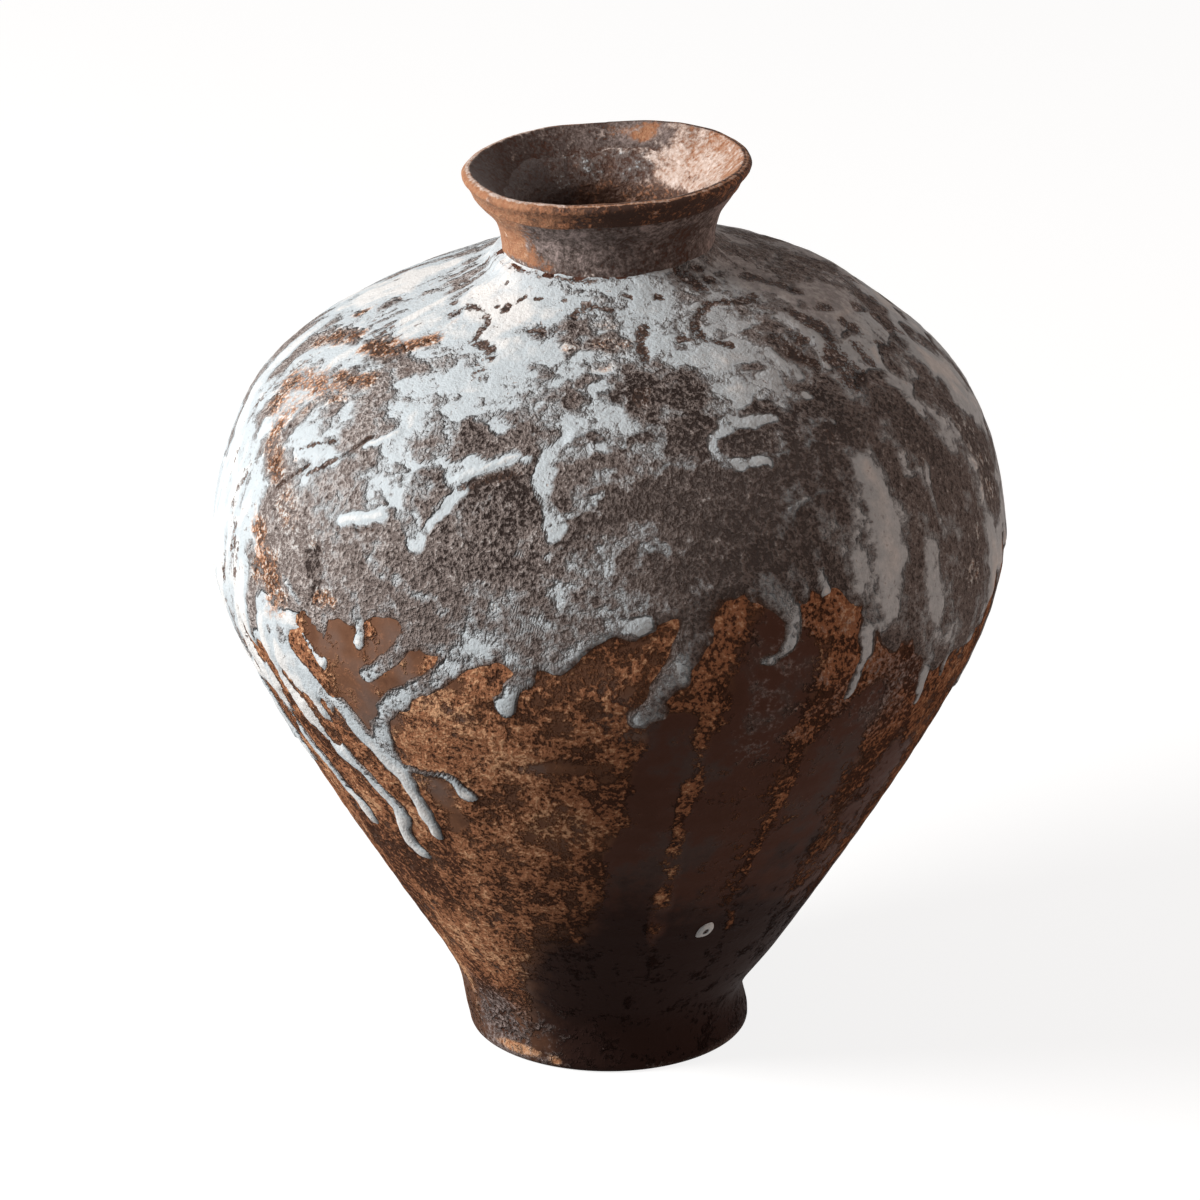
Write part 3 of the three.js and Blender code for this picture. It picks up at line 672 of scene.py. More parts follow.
def make_piece(name, vertices, faces, fields, material, nodes):
    """A smooth mesh piece that carries its fields, rides on the vase and stands for some of its solids."""
    mesh = bpy.data.meshes.new(name)
    mesh.from_pydata(np.asarray(vertices).tolist(), [], faces)
    mesh.validate()
    mesh.shade_smooth()
    for field, values in fields.items():
        layer = mesh.attributes.new(field, "FLOAT", "POINT")
        layer.data.foreach_set("value", np.asarray(values, np.float32))
    mesh.materials.append(material)
    piece = bpy.data.objects.new(name, mesh)
    bpy.context.scene.collection.objects.link(piece)
    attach(piece, ROOT)
    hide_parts(*nodes)


def band_faces(rows, columns, start=0):
    """Quads between rows of vertices that run round the vase, with the outside facing out as rows rise."""
    row, column = np.meshgrid(np.arange(rows - 1), np.arange(columns), indexing="ij")
    nxt = (column + 1) % columns
    a = start + row * columns + column
    b = start + row * columns + nxt
    quads = np.stack([a, b, b + columns, a + columns], axis=-1).reshape(-1, 4)
    return quads.tolist()


def ring_solid(grid, first_pole=None, last_pole=None):
    """Vertices and faces of a ring-shaped or pole-ended solid from a grid of rows by columns of places."""
    rows, columns = grid.shape[:2]
    vertices = grid.reshape(-1, 3)
    faces = band_faces(rows, columns)
    around = [(i, (i + 1) % columns) for i in range(columns)]
    if first_pole is None:
        last = (rows - 1) * columns
        faces += [[last + i, last + j, j, i] for i, j in around]
        return vertices, faces
    vertices = np.vstack([vertices, [first_pole, last_pole]])
    low, high = rows * columns, rows * columns + 1
    last = (rows - 1) * columns
    faces += [[low, j, i] for i, j in around]
    faces += [[high, last + i, last + j] for i, j in around]
    return vertices, faces


def columns_of(count):
    """Azimuths of the columns of a ring, from the back round by the left, front and right."""
    return np.linspace(-math.pi, math.pi, count, endpoint=False)


def front_columns(count):
    """Azimuths of the columns of a ring, closer together on the front."""
    even_turn = columns_of(count)
    return even_turn - 0.38 * np.sin(even_turn)


def over_grid(values, rows, columns):
    """Values of one row or one column spread over a grid, in the order of its vertices."""
    return np.broadcast_to(values, (rows, columns)).ravel()


def lathe(section, form, columns):
    """A grid of places from a section of (radius, height) rows, as thrown."""
    azimuth = columns_of(columns)
    return thrown(azimuth[None, :], section[:, :1], section[:, 1:], form)


# Finishes

class Finish:
    """Builds a procedural material node by node."""

    def __init__(self, name):
        self.material = bpy.data.materials.new(name)
        self.material.use_nodes = True
        self.nodes = self.material.node_tree.nodes
        self.links = self.material.node_tree.links
        self.nodes.clear()
        self.place = self.node("ShaderNodeTexCoord").outputs["Object"]

    def node(self, kind, **settings):
        """A new node with its settings."""
        made = self.nodes.new(kind)
        for key, value in settings.items():
            setattr(made, key, value)
        return made

    def feed(self, socket, value):
        """Links a socket to a value, or sets it."""
        if isinstance(value, bpy.types.NodeSocket):
            self.links.new(value, socket)
        elif hasattr(socket.default_value, "__len__") and len(value) == 3 and len(socket.default_value) == 4:
            socket.default_value = (*value, 1.0)
        else:
            socket.default_value = value

    def field(self, name):
        """A per-vertex field of the piece."""
        return self.node("ShaderNodeAttribute", attribute_name=name).outputs["Fac"]

    def noise(self, size, detail=3.0, roughness=0.55, twist=0.0, stretch=None):
        """Noise from 0 to 1 whose blotches are about size metres across."""
        place = self.place
        if stretch:
            mapping = self.node("ShaderNodeMapping")
            self.feed(mapping.inputs["Vector"], place)
            mapping.inputs["Scale"].default_value = stretch
            place = mapping.outputs["Vector"]
        made = self.node("ShaderNodeTexNoise")
        self.feed(made.inputs["Vector"], place)
        made.inputs["Scale"].default_value = 1 / size
        made.inputs["Detail"].default_value = detail
        made.inputs["Roughness"].default_value = roughness
        made.inputs["Distortion"].default_value = twist
        return made.outputs["Fac"]

    def math(self, operation, a, b=0.0):
        """Arithmetic on one or two values."""
        made = self.node("ShaderNodeMath", operation=operation)
        self.feed(made.inputs[0], a)
        self.feed(made.inputs[1], b)
        return made.outputs[0]

    def add(self, value, noise, weight):
        """A value plus a noise's swing about its middle."""
        return self.math("ADD", value, self.math("MULTIPLY", self.math("SUBTRACT", noise, 0.5), weight))

    def step(self, value, low, high, to_low=0.0, to_high=1.0):
        """A smooth step of a value between two limits."""
        made = self.node("ShaderNodeMapRange", interpolation_type="SMOOTHSTEP")
        self.feed(made.inputs["Value"], value)
        made.inputs["From Min"].default_value = low
        made.inputs["From Max"].default_value = high
        made.inputs["To Min"].default_value = to_low
        made.inputs["To Max"].default_value = to_high
        return made.outputs["Result"]

    def patch(self, name, low, high, *noises):
        """Where a field, roughened by (noise, weight) pairs, rises from low to high."""
        value = self.field(name)
        for noise, weight in noises:
            value = self.add(value, noise, weight)
        return self.step(value, low, high)

    def mix(self, factor, a, b):
        """One colour turning into another."""
        made = self.node("ShaderNodeMix", data_type="RGBA")
        self.feed(made.inputs[0], factor)
        self.feed(made.inputs[6], a)
        self.feed(made.inputs[7], b)
        return made.outputs[2]

    def ramp(self, value, *stops):
        """A colour ramp from (place, colour) stops."""
        made = self.node("ShaderNodeValToRGB")
        self.feed(made.inputs[0], value)
        elements = made.color_ramp.elements
        while len(elements) < len(stops):
            elements.new(0.5)
        for element, (place, tint) in zip(elements, stops):
            element.position = place
            element.color = (*tint, 1.0)
        return made.outputs["Color"]

    def surface(self, skin, roughness, height, depth, strength, specular=0.5):
        """Ends the material in a shader with a bumped surface."""
        bump = self.node("ShaderNodeBump")
        bump.inputs["Strength"].default_value = strength
        bump.inputs["Distance"].default_value = depth
        self.feed(bump.inputs["Height"], height)
        shader = self.node("ShaderNodeBsdfPrincipled")
        self.feed(shader.inputs["Base Color"], skin)
        self.feed(shader.inputs["Roughness"], roughness)
        shader.inputs["Specular IOR Level"].default_value = specular
        self.feed(shader.inputs["Normal"], bump.outputs["Normal"])
        out = self.node("ShaderNodeOutputMaterial")
        self.links.new(shader.outputs["BSDF"], out.inputs["Surface"])
        return self.material


def clay_finish(look):
    """Stoneware wall: rough rust crust with grog flecks, smooth brown pools and dark fused streaks."""
    f = Finish("stoneware wall")
    speck = f.noise(0.0009, 2.0, 0.6)
    fine = f.noise(0.0017, 4.0, 0.62)
    middle = f.noise(0.0070, 4.0, 0.6)
    broad = f.noise(0.030, 3.0)
    crust = f.patch("crust", 0.06, 0.92, (middle, 2.6), (fine, 1.9))
    crease = f.math("ABSOLUTE", f.math("SUBTRACT", f.noise(0.0085, 3.0, 0.5, 0.8), 0.5))
    fleck = f.add(f.add(f.add(fine, speck, 0.45), middle, 0.45), broad, 0.45)
    fleck = f.math("ADD", fleck, f.step(crease, 0.045, 0.0, 0.0, 0.10))
    fleck = f.math("ADD", fleck, f.math("MULTIPLY", f.field("tan"), 0.20))
    fleck = f.math("SUBTRACT", fleck, f.step(crust, 1.0, 0.0, 0.0, 0.10))
    rough = f.ramp(fleck, (0.34, look.pit), (0.46, look.rust), (0.56, look.rust), (0.70, look.fleck))
    dark = f.patch("streak", 0.0, 0.55, (middle, 0.9))
    brown = f.mix(f.step(f.add(middle, fine, 0.8), 0.48, 0.72, 0.0, 0.6), look.pool, look.rust)
    brown = f.mix(f.step(broad, 0.50, 0.66, 0.0, 0.55), brown, look.blush)
    fused = f.mix(f.step(f.add(broad, middle, 0.7), 0.46, 0.68, 0.0, 0.75), look.streak, look.smoke_and_shade)
    even_skin = f.mix(dark, brown, fused)
    even_skin = f.mix(f.step(f.add(broad, middle, 0.8), 0.52, 0.30, 0.0, 0.45), even_skin, look.pit)
    skin = f.mix(crust, even_skin, rough)
    # Partly painted shade: the soot field marks the blackened foot and also the shaded right side.
    sooted = f.patch("soot", 0.25, 0.8, (middle, 0.7), (broad, 0.6))
    skin = f.mix(sooted, skin, look.soot)
    speckle = f.add(fine, speck, 0.5)
    traces = f.patch("trace", 0.42, 0.86, (middle, 1.2), (fine, 1.0))
    trace_tone = f.ramp(speckle, (0.38, look.pit), (0.50, look.blush), (0.66, look.trace))
    skin = f.mix(traces, skin, trace_tone)
    # Painted highlight: pale orange patches on the foot's lower left edge, where light catches it.
    painted_highlight = f.patch("painted_highlight", 0.40, 0.80, (middle, 1.0), (fine, 0.9))
    painted_highlight_tone = f.ramp(speckle, (0.36, look.rust), (0.52, look.fleck), (0.68, look.inside))
    skin = f.mix(painted_highlight, skin, painted_highlight_tone)
    gloss = f.step(crust, 0.0, 1.0, 0.52, 0.86)
    relief = f.math("MULTIPLY", f.math("ADD", fine, middle), f.step(crust, 0.0, 1.0, 0.10, 1.0))
    return f.surface(skin, gloss, relief, 0.0015, 1.0, 0.01)


def glaze_finish(look):
    """Ash glaze: pale blue-grey where thick, gritty and brown-grey where thin, burnt rust in places."""
    f = Finish("run ash glaze")
    fine = f.noise(0.0010, 2.0, 0.6)
    grit = f.noise(0.0021, 3.0, 0.6)
    middle = f.noise(0.0060, 4.0, 0.6)
    broad = f.noise(0.028, 3.0)
    thick = f.field("pale")
    pale = f.step(f.add(f.add(thick, middle, 1.0), grit, 0.5), 0.33, 0.80)
    grains = f.add(f.add(f.add(grit, fine, 0.9), middle, 0.3), thick, 0.16)
    grains = f.math("SUBTRACT", grains, f.math("MULTIPLY", f.field("dark"), 0.14))
    thin_coat = f.ramp(
        grains, (0.27, look.grit_dark), (0.43, look.grit_mid), (0.53, look.grit_mid), (0.73, look.grit_light)
    )
    # Painted shade: the thin coat turns towards the darker grit shade colour on the right side, where shade
    # falls, and on the low front.
    thin_coat = f.mix(f.math("MULTIPLY", f.field("calm_painted_shade"), 0.40), thin_coat, look.grit_painted_shade)
    pool = f.mix(f.step(f.add(f.add(thick, broad, 0.6), middle, 0.6), 0.87, 1.22), look.pale, look.milk)
    mottled = f.ramp(
        f.add(grit, middle, 0.9), (0.34, look.grit_mid), (0.52, look.veil_and_shade), (0.72, look.grit_light)
    )
    # Partly painted shade: where the veil field is high, the pale ash turns to this darker, warmer mottled
    # tone on the shaded right.
    pool = f.mix(f.field("veil_and_shade"), pool, mottled)
    pits = f.step(f.add(f.add(fine, grit, 0.8), thick, 0.16), 0.42, 0.26, 0.0, 0.55)
    pool = f.mix(pits, pool, look.grit_mid)
    skin = f.mix(pale, thin_coat, pool)
    speckle = f.add(grit, fine, 0.8)
    burnt = f.patch("rust", 0.34, 0.88, (middle, 1.9), (grit, 1.5), (fine, 0.6))
    burnt_tone = f.ramp(
        f.math("SUBTRACT", speckle, f.math("MULTIPLY", f.math("SUBTRACT", f.field("rust"), 0.42), 0.40)),
        (0.30, look.edge),
        (0.40, look.rust),
        (0.50, look.flush),
        (0.62, look.milk),
    )
    skin = f.mix(burnt, skin, burnt_tone)
    crawled = f.patch("crawl", 0.48, 0.84, (middle, 1.7), (grit, 2.0), (fine, 1.0))
    bare_tone = f.ramp(
        speckle, (0.44, look.grit_dark), (0.56, look.edge), (0.66, look.grit_mid), (0.78, look.grit_light)
    )
    skin = f.mix(crawled, skin, bare_tone)
    body = f.patch("cover", 0.0, 0.22, (grit, 0.5))
    skin = f.mix(body, look.edge, skin)
    gloss = f.step(pale, 0.0, 1.0, 0.82, 0.62)
    finer = f.math("ADD", f.math("MULTIPLY", fine, 0.8), f.math("MULTIPLY", middle, 0.8))
    relief = f.math("ADD", grit, finer)
    relief = f.math("MULTIPLY", relief, f.step(pale, 0.0, 1.0, 1.0, 0.17))
    relief = f.math("ADD", relief, f.math("MULTIPLY", pale, 0.20))
    relief = f.math("SUBTRACT", relief, f.math("MULTIPLY", crawled, 0.16))
    return f.surface(skin, gloss, relief, 0.0024, 1.0, 0.12)


def neck_finish(look):
    """Neck clay: flashed orange, thin grey ash, dark rolled lip with a painted highlight on its crest,
    painted shade on the inner left, and pinkish bare clay with painted light on the inner right.
    """
    f = Finish("neck stoneware")
    speck = f.noise(0.0009, 2.0, 0.6)
    fine = f.noise(0.0017, 4.0, 0.62)
    middle = f.noise(0.0050, 4.0, 0.6)
    broad = f.noise(0.016, 3.0)
    grains = f.add(f.add(fine, speck, 0.6), middle, 0.5)
    bare = f.ramp(grains, (0.12, look.pit), (0.34, look.rust), (0.52, look.orange), (0.92, look.fleck))
    ash = f.patch("ash", 0.38, 0.66, (middle, 0.9), (fine, 0.6))
    haze = f.math("ADD", f.add(grains, broad, 0.8), f.field("haze"))
    ash_tone = f.ramp(haze, (0.28, look.pit), (0.42, look.smoke_and_shade), (0.56, look.blush), (0.82, look.trace))
    skin = f.mix(ash, bare, ash_tone)
    rolled = f.patch("rolled", 0.28, 0.76, (middle, 1.5), (fine, 0.9))
    skin = f.mix(rolled, skin, f.mix(f.step(f.add(broad, grains, 1.2), 0.46, 0.80), look.lip, look.rust))
    # Painted shade: the lip's shadow on the inner left wall, and a darker rear wall inside the mouth.
    painted_shade = f.patch("painted_shade", 0.26, 0.70, (middle, 0.8), (fine, 0.5))
    skin = f.mix(painted_shade, skin, f.ramp(grains, (0.34, look.pit), (0.50, look.smoke_and_shade), (0.78, look.blush)))
    # Painted highlight: a pale line along the lip's crest, brighter on the left.
    painted_highlight = f.patch("painted_highlight", 0.40, 0.72, (fine, 0.9), (middle, 0.7))
    skin = f.mix(painted_highlight, skin, f.mix(f.step(grains, 0.45, 0.66), look.orange, look.inside))
    gritty = f.patch("gritty", 0.30, 0.84, (middle, 1.3), (fine, 1.1))
    grey = f.ramp(grains, (0.40, look.pit), (0.53, look.blush), (0.64, look.blush), (0.80, look.salt))
    skin = f.mix(gritty, skin, grey)
    # Partly painted light: pinkish bare clay, made pale where light falls on the inner right wall, with a
    # painted highlight just inside the crest on the left.
    pink_painted_light = f.patch("pink_painted_light", 0.24, 0.90, (middle, 1.6), (fine, 1.2))
    pink_painted_light_tone = f.ramp(grains, (0.24, look.rust), (0.44, look.inside), (0.80, look.salt))
    skin = f.mix(pink_painted_light, skin, pink_painted_light_tone)
    gloss = f.step(ash, 0.0, 1.0, 0.58, 0.76)
    return f.surface(skin, gloss, f.math("ADD", fine, middle), 0.0010, 0.8, 0.12)


def liner_finish(look, clay):
    """Brown liner glaze, gritty where it ends under the lip, with painted shade on the inner left and
    painted light on the inner right.
    """
    f = Finish("liner glaze")
    speck = f.noise(0.0010, 2.0, 0.6)
    fine = f.noise(0.0019, 4.0, 0.62)
    middle = f.noise(0.0055, 4.0, 0.6)
    grains = f.add(f.add(fine, speck, 0.6), middle, 0.6)
    tone = f.ramp(grains, (0.34, clay.pit), (0.52, look.liner), (0.74, clay.rust))
    # Painted shade on the inner left, where the lip's shadow falls.
    painted_shade = f.patch("painted_shade", 0.20, 0.75, (middle, 1.2))
    tone = f.mix(painted_shade, tone, f.ramp(grains, (0.34, clay.pit), (0.50, clay.smoke_and_shade), (0.78, clay.blush)))
    gritty = f.patch("gritty", 0.32, 0.80, (middle, 1.1), (fine, 0.9))
    grey = f.ramp(grains, (0.40, clay.pit), (0.53, clay.blush), (0.64, clay.blush), (0.80, look.pale))
    skin = f.mix(gritty, tone, grey)
    # Partly painted light: pinkish bare clay, pale where light falls on the inner right wall.
    pink_painted_light = f.patch("pink_painted_light", 0.24, 0.90, (middle, 1.6), (fine, 1.2))
    skin = f.mix(pink_painted_light, skin, f.ramp(grains, (0.24, clay.rust), (0.44, clay.inside), (0.80, clay.salt)))
    gloss = f.step(gritty, 0.0, 1.0, 0.46, 0.70)
    return f.surface(skin, gloss, f.math("ADD", fine, middle), 0.0013, 0.9, 0.22)


# Fields of the bare wall

def clay_fields(wall, azimuth, points, height):
    """How crusted, streaked, sooted with painted shade on the right, ash-traced and tan the clay is, and
    where a highlight is painted on the foot, at each point; height is in mm.
    """
    degrees = np.degrees(azimuth)
    flow = drawn_out(azimuth, 0.10, height * MM * 0.22)
    streaky = cloud(flow, 0.034, 3, 3)
    ragged = points.copy()
    ragged[:, 0] += MM * (2.0 * cloud(points, 0.013, 14, 3) + 1.2 * cloud(flow, 0.010, 15, 2))
    ragged[:, 2] += MM * 2.0 * cloud(points, 0.015, 16, 2)
    dark = marked(wall, DARK_STREAKS, ragged, 0.75)
    ridge = marked(wall, ROUGH_RIDGES, ragged, 0.9) * (0.72 + 0.80 * cloud(points, 0.008, 17, 2))
    ridge *= 0.40 + 0.60 * smooth(34, 90, height)
    pool = marked(wall, SMOOTH_POOLS, ragged, 0.7)
    left_low = smooth(-14, -38, degrees) * smooth(-110, -80, degrees)
    level = height + 34 * left_low + 9 * streaky
    crust = 0.84 + 0.16 * streaky + 0.16 * cloud(points, 0.018, 5, 3)
    crust -= 1.05 * np.maximum(dark, pool)
    crust *= 1 - 0.85 * smooth(78, 34, level)
    crust += 0.72 * np.clip(ridge, 0, 1)
    streak = np.clip(dark - 0.5 * pool, 0, 1)
    soot = smooth(92, 30, level) * (0.85 + 0.35 * cloud(flow, 0.05, 9, 2))
    # Painted shade: the soot field also darkens the right side, away from the key light; the next line
    # darkens the lower front and front right.
    soot += 0.22 * smooth(10, 60, degrees) * smooth(180, 120, height) * smooth(170, 120, degrees)
    soot += 0.36 * smooth(-12, 6, degrees) * smooth(64, 36, degrees) * smooth(128, 84, height)
    soot -= 0.6 * np.clip(ridge, 0, 1)
    foot_left = np.exp(-(((degrees + 50) / 19) ** 2)) * smooth(40, 12, height)
    trace = 0.84 * foot_left + 0.34 * np.clip(cloud(flow, 0.022, 12, 3), 0, 1) * smooth(110, 30, height)
    right_crust = smooth(6, 24, degrees) * smooth(110, 80, degrees) * smooth(118, 150, height)
    trace += 0.40 * right_crust * (0.8 + 0.6 * streaky)
    grainy = cloud(drawn_out(azimuth, 0.10, height * MM * 0.2), 0.006, 18, 3)
    tan = 0.50 * cloud(points, 0.016, 19, 3) + left_low * smooth(135, 95, height) * (0.65 * grainy - 0.16)
    tan -= 0.50 * smooth(-20, 14, degrees) * smooth(170, 120, degrees) + 0.16 * left_low
    # Painted highlight: pale patches on the foot's lower left edge, where light catches it.
    painted_highlight = 1.1 * np.exp(-(((degrees + 42) / 14) ** 2) - ((height - 4.8) / 2.5) ** 2)
    painted_highlight += 0.9 * np.exp(-(((degrees + 23) / 3) ** 2) - ((height - 3.2) / 1.6) ** 2)
    shoulder = smooth(196, 206, height)
    return {
        "crust": np.clip(crust * (1 - 0.6 * shoulder), -0.35, 1.2),
        "streak": np.clip(np.maximum(streak, 0.9 * shoulder), 0, 1),
        "soot": np.clip(soot, 0, 1),
        "trace": np.clip(trace, 0, 1),
        "tan": np.clip(tan, -1, 1),
        "painted_highlight": np.clip(painted_highlight, 0, 1),
    }


def rough_skin(points, crust):
    """How far the crusted clay stands off its smooth form, in metres."""
    lumps = 0.16 * cloud(points, 0.0075, 21, 3) + 0.10 * cloud(points, 0.0032, 22, 2)
    return MM * lumps * np.clip(crust, 0.15, 1)


def wall_rows(wall, start, end, rows):
    """Rows of places and fields of the outer clay face between two distances up the meridian."""
    azimuth = over_grid(columns_of(CLAY_COLUMNS), rows, CLAY_COLUMNS)
    climb = np.linspace(start, end, rows)
    climb[1], climb[-2] = start + SEAM_LOOP, end - SEAM_LOOP
    along = over_grid(climb[:, None], rows, CLAY_COLUMNS)
    points = wall.points(azimuth, along)
    _, height = wall.face(along)
    fields = clay_fields(wall, azimuth, points, height / MM)
    ends = smooth(0, SEAM_FADE, np.minimum(along - start, end - along))
    points = wall.points(azimuth, along, rough_skin(points, fields["crust"]) * ends)
    return points.reshape(rows, CLAY_COLUMNS, 3), fields


def with_hidden(fields, tail, **plain):
    """Fields of the outer face followed by plain values on the rows that don't show."""
    count = tail * CLAY_COLUMNS
    return {
        name: np.concatenate([values, np.full(count, plain.get(name, 0.0))])
        for name, values in fields.items()
    }


# Operators

class VASE_OT_foot_ring(bpy.types.Operator):
    """Turned foot ring that the vase stands on"""

    bl_idname = "vase.foot_ring"
    bl_label = "Foot ring"

    def execute(self, context):
        form = context.scene.vase_form
        wall = Wall(form)
        edge = 0.0028
        radius, height = form.foot_radius, form.foot_height
        turn_out = height - (form.waist_radius - radius) * math.tan(form.flank_rise)
        side = bezier(
            (radius, edge),
            (radius, edge + (turn_out - edge) * 2 / 3),
            (form.waist_radius + (radius - form.waist_radius) * 2 / 3, height + (turn_out - height) * 2 / 3),
            (form.waist_radius, height),
            34,
        )
        side = np.vstack([side[:-1], 0.98 * side[-1:] + 0.02 * side[-2:-1], side[-1:]])
        roll = bezier((radius - edge, 0), (radius - edge * 0.4, 0), (radius, edge * 0.4), (radius, edge), 9)
        bore = form.waist_radius - BOSS_STEP
        recess = radius - form.foot_ring_width
        under = np.array(
            [
                (bore, height),
                (bore, form.foot_recess + 0.0005),
                (recess - 0.0005, form.foot_recess + 0.0005),
                (recess, form.foot_recess - 0.001),
                (recess + 0.001, 0.0012),
                (recess + 0.0022, 0.0),
            ]
        )
        section = np.vstack([roll, side[1:], under])
        shown = len(roll) + len(side) - 1
        grid = lathe(section, form, CLAY_COLUMNS)
        azimuth = over_grid(columns_of(CLAY_COLUMNS), shown, CLAY_COLUMNS)
        heights = over_grid(section[:shown, 1:], shown, CLAY_COLUMNS)
        points = grid[:shown].reshape(-1, 3)
        fields = clay_fields(wall, azimuth, points, heights / MM)
        lumps = rough_skin(points, 0.5 + 0 * heights) + MM * 0.22 * cloud(points, 0.014, 31, 2)
        lumps *= smooth(0.0, SEAM_FADE, heights) * smooth(height, height - SEAM_FADE, heights)
        out = np.stack([np.sin(azimuth), -np.cos(azimuth), 0 * azimuth], axis=1)
        grid[:shown] += (out * lumps[:, None]).reshape(shown, CLAY_COLUMNS, 3)
        near_floor = smooth(5, 1.5, heights / MM)
        fields["trace"] += 0.5 * near_floor * np.clip(0.4 + cloud(points, 0.02, 33, 3), 0, 1)
        fields = with_hidden(fields, len(under), crust=0.3, soot=0.4, streak=0.5)
        vertices, faces = ring_solid(grid)
        material = clay_finish(context.scene.vase_clay)
        make_piece("foot_ring_clay", vertices, faces, fields, material, ["foot_ring"])
        return {"FINISHED"}


class VASE_OT_lower_body(bpy.types.Operator):
    """Thrown lower half: floor and flaring flank up to the luted seam"""

    bl_idname = "vase.lower_body"
    bl_label = "Lower body"

    def execute(self, context):
        form = context.scene.vase_form
        wall = Wall(form)
        rows = 112
        outer, fields = wall_rows(wall, 0.0, wall.seam, rows)
        floor_top = form.foot_recess + form.floor
        floor_under = form.foot_recess + FLOOR_GAP
        boss = form.waist_radius - BOSS_STEP
        inside = np.vstack(
            [
                wall.inner(wall.seam, INNER_START, 12),
                [(boss - form.wall, floor_top + 0.006), (boss - form.wall - 0.004, floor_top)],
            ]
        )
        under = np.array([(boss - 0.002, floor_under), (boss, floor_under), (boss, form.foot_height)])
        hidden = lathe(inside, form, CLAY_COLUMNS)
        base = lathe(under, form, CLAY_COLUMNS)
        grid = np.concatenate([base, outer, hidden])
        vertices, faces = ring_solid(grid, (0, 0, floor_under), (0, 0, floor_top))
        unseen, poles = 0.3, 2
        before = np.full(len(under) * CLAY_COLUMNS, unseen)
        after = np.full(len(inside) * CLAY_COLUMNS + poles, unseen)
        fields = {name: np.concatenate([before, values, after]) for name, values in fields.items()}
        material = clay_finish(context.scene.vase_clay)
        make_piece("lower_body_clay", vertices, faces, fields, material, ["lower_body"])
        return {"FINISHED"}


class VASE_OT_upper_body(bpy.types.Operator):
    """Thrown upper half: the shoulder from the luted seam to the neck"""

    bl_idname = "vase.upper_body"
    bl_label = "Upper body"

    def execute(self, context):
        form = context.scene.vase_form
        wall = Wall(form)
        rows = 110
        outer, fields = wall_rows(wall, wall.seam, wall.crease, rows)
        hole = form.neck_radius - form.neck_wall / 2
        rim_r, rim_z = wall.face(np.array([wall.crease]))
        rim_top = rim_z[0] + (rim_r[0] - hole) * math.tan(form.shoulder_slope)
        inside = np.vstack(
            [
                [(hole, rim_top), (hole, rim_top - form.wall)],
                wall.inner(wall.crease - 0.003, wall.seam, 14),
            ]
        )
        grid = np.concatenate([outer, lathe(inside, form, CLAY_COLUMNS)])
        fields = with_hidden(fields, len(inside), crust=0.3, streak=0.5)
        vertices, faces = ring_solid(grid)
        material = clay_finish(context.scene.vase_clay)
        make_piece("upper_body_clay", vertices, faces, fields, material, ["upper_body"])
        return {"FINISHED"}


